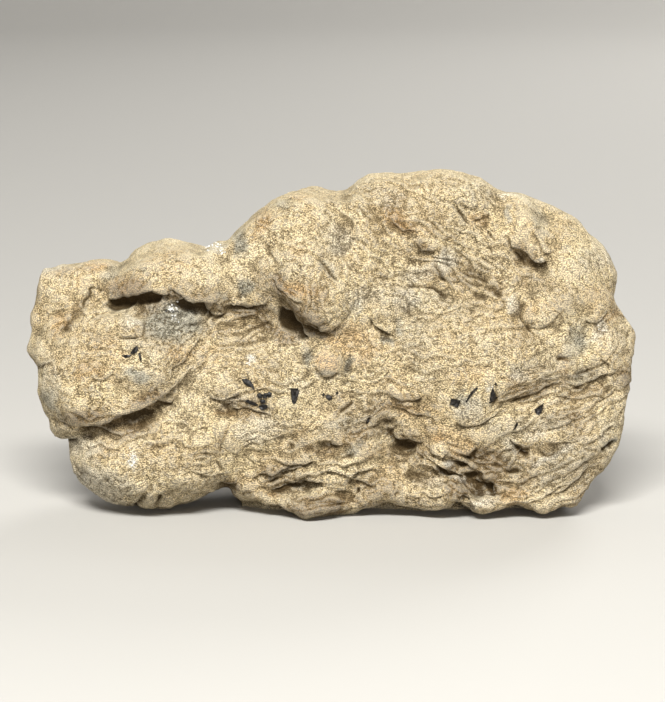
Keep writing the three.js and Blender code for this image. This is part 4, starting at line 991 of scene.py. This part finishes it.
def stretched(tree, place, amounts, wander):
    # the place on the stone, drawn out along the layers and bent a little
    x, y = place
    spot = newNode(tree, "TexCoord", (x - 700, y)).outputs["Object"]
    bend = noiseNode(tree, (x - 500, y - 200), spot, Scale=160.0)
    moved = newNode(tree, "VectorMath", (x - 300, y), operation="MULTIPLY_ADD")
    tree.links.new(bend.outputs["Color"], moved.inputs[0])
    moved.inputs[1].default_value = (wander * 4, wander * 4, wander * 12)
    tree.links.new(spot, moved.inputs[2])
    drawn = newNode(tree, "VectorMath", (x - 150, y), operation="MULTIPLY")
    tree.links.new(moved.outputs[0], drawn.inputs[0])
    drawn.inputs[1].default_value = amounts
    return drawn.outputs[0]


def hairlineGroup():
    group, start, end = newGroup("hairlineCracks", {"Fineness": 420.0}, ["Line"])
    spot = stretched(group, (-900, 0), (0.38, 1.0, 1.0), 0.0009)
    wave = noiseNode(group, (-600, 100), spot, Scale=start.outputs["Fineness"], Detail=2.5).outputs["Fac"]
    off = mathNode(group, "ABSOLUTE", (-250, 100), mathNode(group, "SUBTRACT", (-400, 100), wave, 0.5))
    line = rangeNode(group, (-100, 100), off, 0.006, 0.022, 1.0, 0.0)
    broken = noiseNode(group, (-600, -200), spot, Scale=300.0).outputs["Fac"]
    kept = rangeNode(group, (-250, -200), broken, 0.48, 0.6)
    plug(group, end, Line=mathNode(group, "MULTIPLY", (200, 0), line, kept))
    return group


def sandGrainGroup():
    group, start, end = newGroup("sandGrain", {"Fineness": 2700.0, "Dark Share": 0.1},
                                 ["Tone", "Gap", "Dark", "Height"])
    spot = stretched(group, (-900, 300), (0.75, 1.0, 1.0), 0.00012)
    grains = newNode(group, "TexVoronoi", (-500, 200), feature="F1")
    plug(group, grains, Vector=spot, Scale=start.outputs["Fineness"], Randomness=0.9)
    hue = plug(group, newNode(group, "SeparateColor", (-300, 250)), Color=grains.outputs["Color"])
    gap = rangeNode(group, (-100, 150), grains.outputs["Distance"], 0.3, 0.7)
    dark = mathNode(group, "LESS_THAN", (-100, 300), hue.outputs[1], start.outputs["Dark Share"])
    dome = mathNode(group, "MULTIPLY", (-100, 0), grains.outputs["Distance"], -1.0)
    uneven = mathNode(group, "MULTIPLY", (-100, -150), hue.outputs[2], 0.5)
    height = mathNode(group, "ADD", (100, 0), dome, uneven)
    plug(group, end, Tone=hue.outputs[0], Gap=gap, Dark=dark, Height=height)
    return group


stoneLook = {
    "cream": paint("#e5d1a8"),
    "tan": paint("#d6be92"),
    "goldAndLight": paint("#f3deb0"),
    "grey": paint("#9a998c"),
    "rust": paint("#cda36b"),
    "pale": paint("#efe8d6"),
    "umberAndShade": paint("#7d6545"),
    # dark brown for dirt and for painted shade
    "shadeAndDirt": paint("#34260f"),
    # paler colour for dust and for the painted light on the tops
    "dustAndTopLight": paint("#dccfae"),
    "darkGrain": paint("#58472b"),
    "fineness": 4200.0,       # grains per metre
    "coarser": 0.58,          # fineness of the larger grains to that
    "darkShare": 0.08,
    "grainLight": (0.30, 1.10),   # darkest and lightest grain
    "gapLight": (1.06, 0.30),     # on a grain, and between grains
    "coarseLight": (0.96, 1.03),
    "hairlines": 0.65,        # how dark the hairline cracks are
    "mostSoilAndShade": 0.92,
    "roughness": (0.82, 0.97),
    "gloss": 0.15,
    "wrinkleBump": (0.25, 0.0006),   # strength, and height in metres
    "grainBump": (0.9, 0.0003),
}


def mark(tree, name, place):
    return newNode(tree, "Attribute", place, attribute_name=name).outputs["Fac"]


def tintedSand(tree, spot, speckle):
    # cream and tan sand, with the tints breaking up along the grains
    broad = noiseNode(tree, (-1500, 500), spot, Scale=90.0, Detail=4.0).outputs["Fac"]
    broad = rangeNode(tree, (-1300, 500), broad, 0.38, 0.66)
    broad = mathNode(tree, "ADD", (-1150, 500), broad, speckle, clamp=True)
    colour = mixNode(tree, (-1000, 500), broad, stoneLook["cream"], stoneLook["tan"])
    for i, (name, tint) in enumerate(tints.items()):
        y = 200 - i * 150
        broken = mathNode(tree, "ADD", (-1200, y), mark(tree, name + "Tint", (-1500, y - 200)), speckle)
        share = rangeNode(tree, (-1000, y), broken, 0.2, 0.9, 0.0, tint["most"])
        colour = mixNode(tree, (-850 + i * 130, 400), share, colour, stoneLook[name])
    return colour


def grainLight(tree, grains, coarse):
    # each grain lighter or darker, and dark between the grains
    bright = mathNode(tree, "POWER", (-550, -200), grains.outputs["Tone"], 0.5)
    light = rangeNode(tree, (-400, -200), bright, 0.0, 1.0, *stoneLook["grainLight"])
    parts = {"gapLight": (-300, grains.outputs["Gap"]), "coarseLight": (-500, coarse.outputs["Tone"])}
    for name, (y, value) in parts.items():
        level = rangeNode(tree, (-400, y), value, 0.0, 1.0, *stoneLook[name])
        light = mathNode(tree, "MULTIPLY", (-250, y), light, level)
    toned = newNode(tree, "CombineColor", (-100, -200))
    return plug(tree, toned, Red=light, Green=light, Blue=light).outputs[0]


def soilAndShadeShare(tree, hair):
    # soil together with painted shade in the cracks, creases, hollows and recesses, and under the ledges
    shadedAndDirty = mathNode(tree, "MULTIPLY", (200, -300), mark(tree, "shadeAndDirt", (0, -400)), 0.85)
    creased = rangeNode(tree, (200, -450), mark(tree, "crease", (0, -500)), 0.2, 1.0, 0.0, 0.35)
    sunken = rangeNode(tree, (200, -600), mark(tree, "hollow", (0, -650)), 0.25, 1.0, 0.0, 0.45)
    deep = rangeNode(tree, (200, -750), mark(tree, "recess", (0, -800)), 0.2, 1.0, 0.0, 0.6)
    cracked = mathNode(tree, "MULTIPLY", (200, -200), hair, stoneLook["hairlines"])
    fine = mathNode(tree, "MAXIMUM", (300, -400), shadedAndDirty, creased)
    fine = mathNode(tree, "MAXIMUM", (350, -300), fine, cracked)
    broad = mathNode(tree, "MAXIMUM", (400, -600), sunken, deep)
    soilAndShade = mathNode(tree, "ADD", (450, -400), fine, broad)
    return mathNode(tree, "MINIMUM", (520, -400), soilAndShade, stoneLook["mostSoilAndShade"])


def sandBump(tree, spot, hair, grains):
    wrinkles = noiseNode(tree, (300, -900), spot, Scale=1500.0, Detail=5.0, Roughness=0.62).outputs["Fac"]
    dented = mathNode(tree, "MULTIPLY", (400, -1000), hair, -0.35)
    dented = mathNode(tree, "ADD", (550, -900), wrinkles, dented)
    wrinkled = bumpNode(tree, (700, -700), dented, *stoneLook["wrinkleBump"])
    sandy = bumpNode(tree, (950, -700), grains.outputs["Height"], *stoneLook["grainBump"])
    return plug(tree, sandy, Normal=wrinkled.outputs[0]).outputs[0]


def stoneMaterial(grainGroup, hairlines):
    look = stoneLook
    material, tree, shader = newMaterial("coproliteStone", (1200, 0))
    shader.inputs["Specular IOR Level"].default_value = look["gloss"]
    spot = newNode(tree, "TexCoord", (-1800, 0)).outputs["Object"]
    grains = useGroup(tree, grainGroup, (-1800, -400), Fineness=look["fineness"],
                      Dark_Share=look["darkShare"])
    coarse = useGroup(tree, grainGroup, (-1800, -700), Fineness=look["fineness"] * look["coarser"])
    hair = useGroup(tree, hairlines, (0, -250)).outputs["Line"]
    cloud = noiseNode(tree, (-1500, 100), spot, Scale=420.0, Detail=5.0, Distortion=0.4).outputs["Fac"]
    patch = rangeNode(tree, (-1300, 100), cloud, 0.3, 0.7, -0.09, 0.09)
    tone = rangeNode(tree, (-1600, -400), grains.outputs["Tone"], 0.0, 1.0, -0.05, 0.05)
    colour = tintedSand(tree, spot, mathNode(tree, "ADD", (-1300, -200), patch, tone))
    colour = mixNode(tree, (0, 300), 1.0, colour, grainLight(tree, grains, coarse), "MULTIPLY")
    dark = mathNode(tree, "MULTIPLY", (0, -100), grains.outputs["Dark"], 0.6)
    colour = mixNode(tree, (150, 300), dark, colour, look["darkGrain"])
    # dark brown mixed in: dirt and painted shade
    colour = mixNode(tree, (600, 300), soilAndShadeShare(tree, hair), colour, look["shadeAndDirt"])
    # convex crests paled: a painted highlight on the ridges
    crestHighlight = rangeNode(tree, (600, 0), mark(tree, "crestHighlight", (400, -100)), 0.2, 1.0, 0.0, 0.15)
    colour = mixNode(tree, (800, 300), crestHighlight, colour, look["pale"])
    # paler where the surface faces up: dust together with painted light on the tops
    dustAndTopLightShare = mathNode(tree, "ADD", (700, 100), mark(tree, "dustAndTopLight", (600, 150)), patch)
    dustAndTopLightShare = rangeNode(tree, (800, 100), dustAndTopLightShare, 0.4, 1.1, 0.0, 0.25)
    colour = mixNode(tree, (950, 300), dustAndTopLightShare, colour, look["dustAndTopLight"])
    rough = rangeNode(tree, (800, -100), patch, -0.09, 0.09, *look["roughness"])
    plug(tree, shader, Base_Color=colour, Roughness=rough, Normal=sandBump(tree, spot, hair, grains))
    return material


def ownPiece(piece):
    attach(piece, "root")
    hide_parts("coprolite")


stonePiece = makeStone(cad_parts["coprolite"])
stonePiece.data.materials.append(stoneMaterial(sandGrainGroup(), hairlineGroup()))
ownPiece(stonePiece)

# Bone and scale chips stuck in the stone: how far each stands out, and its outline on the face.
chips = {
    "size": 1.18,         # of each chip to the outlines below
    "sunk": 0.5,          # mm of the edge that is buried
    "shoulder": 0.6,      # height of the edge to the whole
    "bevel": 0.78,        # size of the top to the outline
    "uneven": 0.08,       # mm
    "outlines": [
        (0.22, [(-43.2, 33.2), (-42.6, 32.75), (-41.9, 32.9), (-41.3, 33.4), (-41.8, 33.35),
            (-42.6, 33.35)]),
        (0.35, [(-41.4, 33.8), (-40.7, 33.7), (-40.2, 34.1), (-40.0, 34.7), (-40.3, 35.1), (-40.9, 34.7)]),
        (0.22, [(-39.6, 32.8), (-39.35, 31.9), (-39.25, 32.7), (-39.5, 33.7), (-39.85, 33.6)]),
        (0.30, [(-18.2, 28.2), (-17.7, 27.4), (-17.1, 27.0), (-16.5, 26.9), (-15.9, 26.4), (-16.1, 27.2),
            (-16.6, 27.9), (-17.4, 28.3)]),
        (0.35, [(-15.1, 25.2), (-14.9, 24.5), (-14.2, 24.4), (-14.1, 25.1), (-14.6, 25.4)]),
        (0.40, [(-14.0, 25.1), (-13.9, 24.4), (-13.2, 24.5), (-13.1, 25.3), (-13.6, 25.4)]),
        (0.38, [(-13.0, 25.2), (-12.9, 24.6), (-12.3, 24.7), (-12.1, 25.4), (-12.7, 25.6)]),
        (0.30, [(-14.6, 23.8), (-14.2, 23.3), (-13.5, 23.5), (-13.6, 24.0), (-14.2, 24.1)]),
        (0.40, [(-14.8, 22.6), (-14.3, 22.1), (-13.8, 22.0), (-13.1, 22.4), (-13.2, 22.9), (-14.2, 23.0)]),
        (0.25, [(-17.6, 23.8), (-16.8, 23.3), (-15.8, 23.0), (-15.2, 23.05), (-16.1, 23.6), (-17, 24.0)]),
        (0.45, [(-8.2, 26.2), (-8.05, 25.0), (-7.9, 23.8), (-7.55, 23.3), (-7.2, 23.6), (-6.9, 24.6),
            (-6.65, 25.5), (-6.8, 26.15)]),
        (0.25, [(-1.65, 25.0), (-1.35, 24.75), (-1.1, 25.1), (-1.35, 25.45)]),
        (0.30, [(-0.9, 24.9), (-0.7, 24.3), (-0.2, 23.95), (0.35, 24.15), (0.35, 24.7), (-0.2, 25.0)]),
        (0.25, [(1.2, 25.3), (1.5, 25.1), (1.75, 25.4), (1.5, 25.85)]),
        (0.30, [(25.2, 23.0), (25.9, 22.9), (26.6, 22.6), (26.9, 23.2), (27.1, 23.8), (26.2, 24.0),
            (25.4, 24.2)]),
        (0.30, [(28.5, 23.8), (28.7, 23.7), (29.4, 24.7), (30.1, 25.7), (30.7, 26.2), (30.5, 26.4),
            (29.8, 25.9), (29.1, 25.0)]),
        (0.35, [(33.4, 24.0), (33.9, 23.9), (34.4, 24.5), (34.2, 25.4), (33.85, 26.3), (33.5, 25.3)]),
        (0.25, [(33.1, 23.4), (33.5, 23.4), (34.2, 24.0), (34.9, 24.6), (34.3, 24.4), (33.6, 23.9)]),
        (0.22, [(34.35, 27.2), (34.6, 27.0), (34.75, 27.4), (34.5, 27.75)]),
        (0.40, [(42.9, 22.1), (43.1, 21.4), (43.6, 21.0), (44.1, 21.5), (44.2, 22.3), (44.6, 23.3),
            (44.0, 22.8), (43.4, 22.4)]),
        (0.22, [(38.3, 17.8), (38.6, 17.9), (39.1, 18.6), (39.15, 19.1), (38.85, 19.0), (38.7, 18.5)]),
        (0.22, [(7.8, 19.1), (8.1, 19.3), (8.3, 19.9), (8.05, 20.0), (7.85, 19.6)]),
    ],
}

# Patches of tiny crystals: middle on the face, reach along and across, direction, how many, size,
# share of dark ones.
crystals = {
    "sunk": 0.45,         # share of each crystal that is buried
    "scatter": 0.6,       # of the reach, most lie within it
    "long": 1.25,         # length to width
    "patches": [
        (-24, 56, 2.0, 0.9, -14, 30, 0.65, 0.0), (-32.9, 42.9, 1.2, 0.9, 20, 26, 0.65, 0.5),
        (-32.3, 41.2, 0.6, 1.2, 0, 14, 0.5, 0.3), (-41.3, 11.5, 0.8, 1.7, 4, 40, 0.42, 0.0),
        # The few white specks at (33.9, 26.6) and (43.85, 21.9) next to dark chips stand for glints:
        # painted highlights.
        (-16.6, 32.5, 0.35, 1.1, -20, 30, 0.42, 0.0), (33.9, 26.6, 0.2, 0.3, 0, 3, 0.4, 0.0),
        (43.85, 21.9, 0.2, 0.25, 0, 2, 0.35, 0.0), (56.4, 38.6, 1.2, 0.9, 0, 8, 0.34, 0.0),
    ],
}


def stoneSurface(piece):
    points, _, _ = meshArrays(piece.data)
    corners = np.empty(len(piece.data.polygons) * 3, np.int32)
    piece.data.polygons.foreach_get("vertices", corners)
    return BVHTree.FromPolygons([tuple(point) for point in points], corners.reshape(-1, 3).tolist())


def onSurface(tree, across, up):
    eye, mark = fromFace(np.array([face["eye"], (across, up, 0.0)]))
    hit, normal, _, _ = tree.ray_cast(Vector(eye), Vector(mark - eye).normalized())
    return hit, normal


def makePiece(name, vertices, faces, slots, materials):
    mesh = bpy.data.meshes.new(name)
    mesh.from_pydata(vertices, [], faces)
    mesh.polygons.foreach_set("material_index", np.array(slots, np.int32))
    mesh.update()
    for material in materials:
        mesh.materials.append(material)
    ownPiece(addToScene(name, mesh))


def makeChips(tree, materials):
    rng = np.random.default_rng(21)
    vertices, faces = [], []
    for height, outline in chips["outlines"]:
        outline = np.array(outline)
        centre = outline.mean(axis=0)
        outline = centre + (outline - centre) * chips["size"]
        _, outward = onSurface(tree, *centre)
        first, count = len(vertices), len(outline)
        levels = ((1.0, -chips["sunk"]), (1.0, height * chips["shoulder"]), (chips["bevel"], height))
        for size, rise in levels:
            for corner in outline:
                spot, _ = onSurface(tree, *(centre + (corner - centre) * size))
                vertices.append(spot + outward * (rise + chips["uneven"] * rng.normal()) * mm)
        spot, _ = onSurface(tree, *(centre + rng.normal(size=2) * 0.1))
        vertices.append(spot + outward * (height + chips["uneven"]) * mm)
        for low in (first, first + count):
            for i in range(count):
                j = (i + 1) % count
                faces.append((low + i, low + j, low + count + j, low + count + i))
        top = first + 2 * count
        faces += [(top + i, top + (i + 1) % count, top + count) for i in range(count)]
        faces.append(tuple(first + i for i in reversed(range(count))))
    makePiece("coprolite_chips", vertices, faces, [0] * len(faces), materials)


def makeCrystals(tree, materials):
    rng = np.random.default_rng(22)
    vertices, faces, slots = [], [], []
    corners = np.array([(1, 0, 0), (0, 1, 0), (-1, 0, 0), (0, -1, 0), (0, 0, 1), (0, 0, -1)], float)
    sides = [(i, (i + 1) % 4, 4) for i in range(4)] + [((i + 1) % 4, i, 5) for i in range(4)]
    for across, up, long, wide, turn, count, size, darkShare in crystals["patches"]:
        c, s = math.cos(math.radians(turn)), math.sin(math.radians(turn))
        for _ in range(count):
            a, b = rng.normal(size=2) * (long, wide) * crystals["scatter"]
            spot, outward = onSurface(tree, across + a * c - b * s, up + a * s + b * c)
            if not spot:    # off the stone's edge
                continue
            reach = size * rng.uniform(0.4, 1.0) * mm
            shape = corners * rng.uniform(0.55, 1.0, size=(6, 1)) + rng.normal(size=(6, 3)) * 0.12
            shape[:, 2] *= crystals["long"]
            lean = Vector(rng.normal(size=3)).normalized().rotation_difference(outward).to_matrix()
            buried = outward * reach * (0.5 - crystals["sunk"])
            first = len(vertices)
            vertices += [spot + buried + lean @ Vector(corner) * reach * 0.6 for corner in shape]
            faces += [tuple(first + k for k in side) for side in sides]
            slots += [int(rng.random() < darkShare)] * len(sides)
    makePiece("coprolite_crystals", vertices, faces, slots, materials)


glossLook = {    # main colour, second colour, roughness, gloss
    # the lighter second colour of the dark chips gives pale spots: partly colour, partly painted glints
    "darkChip": (paint("#100e0c"), paint("#3d3935"), 0.34, 0.3),
    "whiteCrystal": (paint("#cdccc8"), paint("#a3a29e"), 0.5, 0.5),
    "darkCrystal": (paint("#35332f"), paint("#77736a"), 0.30, 0.5),
}


def glossMaterial(name):
    main, other, roughness, gloss = glossLook[name]
    material, tree, shader = newMaterial(name)
    shader.inputs["Specular IOR Level"].default_value = gloss
    spot = newNode(tree, "TexCoord", (-1000, 0)).outputs["Object"]
    cloud = noiseNode(tree, (-800, 0), spot, Scale=1900.0, Detail=3.0).outputs["Fac"]
    share = rangeNode(tree, (-600, 0), cloud, 0.5, 0.72)
    bump = bumpNode(tree, (-300, -400), cloud, 0.4, 0.0002)
    plug(tree, shader, Base_Color=mixNode(tree, (-400, 0), share, main, other),
         Roughness=rangeNode(tree, (-400, -200), share, 0.0, 1.0, roughness, roughness + 0.35),
         Normal=bump.outputs[0])
    return material


surface = stoneSurface(stonePiece)
makeChips(surface, [glossMaterial("darkChip")])
makeCrystals(surface, [glossMaterial("whiteCrystal"), glossMaterial("darkCrystal")])
report("chips and crystals set in")

# Studio: a round pale sweep, a soft light overhead, weak fills in front and behind.
studio = {
    "paper": paint("#a9a7a3"),
    "reach": 1.4,            # metres from the middle to the wall
    "bend": 0.4,             # radius between floor and wall
    "height": 1.7,
    "sides": 64,
    "air": (1.0, 0.99, 0.97, 1.0),
    "airLevel": 0.15,
    "lights": {              # place, width, height, watts, colour
        "overheadSoftbox": ((-0.05, -0.64, 0.72), 0.5, 0.18, 19.4, (1.0, 0.99, 0.955)),
        "frontFill": ((0.3, -1.05, 0.15), 0.4, 0.4, 4.0, (1.0, 0.98, 0.95)),
        "backFill": ((0.5, 0.95, 0.6), 0.5, 0.5, 8.0, (1.0, 0.99, 0.97)),
        "rimStrip": ((0.0, 0.50, 0.75), 0.7, 0.2, 1.0, (1.0, 1.0, 1.0)),
    },
}


def makeSweep(steps=12):
    reach, bend, sides = studio["reach"], studio["bend"], studio["sides"]
    profile = [(0.12, 0.0), (0.5, 0.0)]
    for i in range(steps + 1):
        turn = math.radians(90 * i / steps)
        profile.append((reach - bend + bend * math.sin(turn), bend * (1 - math.cos(turn))))
    profile.append((reach, studio["height"]))
    vertices = [(0.0, 0.0, 0.0)]
    for radius, z in profile:
        for i in range(sides):
            turn = 2 * math.pi * i / sides
            vertices.append((radius * math.cos(turn), radius * math.sin(turn), z))
    faces = [(0, 1 + i, 1 + (i + 1) % sides) for i in range(sides)]
    for ring in range(len(profile) - 1):
        first = 1 + ring * sides
        for i in range(sides):
            j = (i + 1) % sides
            faces.append((first + i, first + sides + i, first + sides + j, first + j))
    mesh = bpy.data.meshes.new("studioSweep")
    mesh.from_pydata(vertices, [], faces)
    mesh.polygons.foreach_set("use_smooth", np.ones(len(mesh.polygons), bool))
    material, tree, shader = newMaterial("palePaper")
    plug(tree, shader, Base_Color=studio["paper"], Roughness=0.9)
    mesh.materials.append(material)
    addToScene("studioSweep", mesh)


def softLight(name, target, place, width, height, power, colour):
    data = bpy.data.lights.new(name, "AREA")
    data.shape = "RECTANGLE"
    data.size, data.size_y = width, height
    data.energy = power
    data.color = colour
    light = addToScene(name, data)
    light.location = place
    light.rotation_euler = (Vector(target) - Vector(place)).to_track_quat("-Z", "Y").to_euler()


makeSweep()
for name, values in studio["lights"].items():
    softLight(name, (cadLow + cadHigh) / 2, *values)
world = bpy.data.worlds.new("studioAir")
world.use_nodes = True
plug(world.node_tree, world.node_tree.nodes["Background"], Color=studio["air"], Strength=studio["airLevel"])
bpy.context.scene.world = world
bpy.context.scene.view_settings.view_transform = "Standard"

view = {
    "lens": 150.0,        # mm
    "sensor": 36.0,
    "tallness": 146.25,   # mm of the stone's plane seen from top to bottom
    "elevation": 12.0,    # degrees above the table
    "aim": (0.52, 34.2, 0.0),    # on the face
}
aim = Vector(fromFace(np.array([view["aim"]]))[0])
distance = view["tallness"] * mm * view["lens"] / view["sensor"]
tilt = math.radians(view["elevation"])
cameraData = bpy.data.cameras.new("studioCamera")
cameraData.lens = view["lens"]
cameraData.sensor_width = view["sensor"]
cameraData.clip_start = 0.01
camera = addToScene("studioCamera", cameraData)
camera.location = aim + Vector((0, -math.cos(tilt), math.sin(tilt))) * distance
camera.rotation_euler = (aim - camera.location).to_track_quat("-Z", "Y").to_euler()
bpy.context.scene.camera = camera
report("studio set")
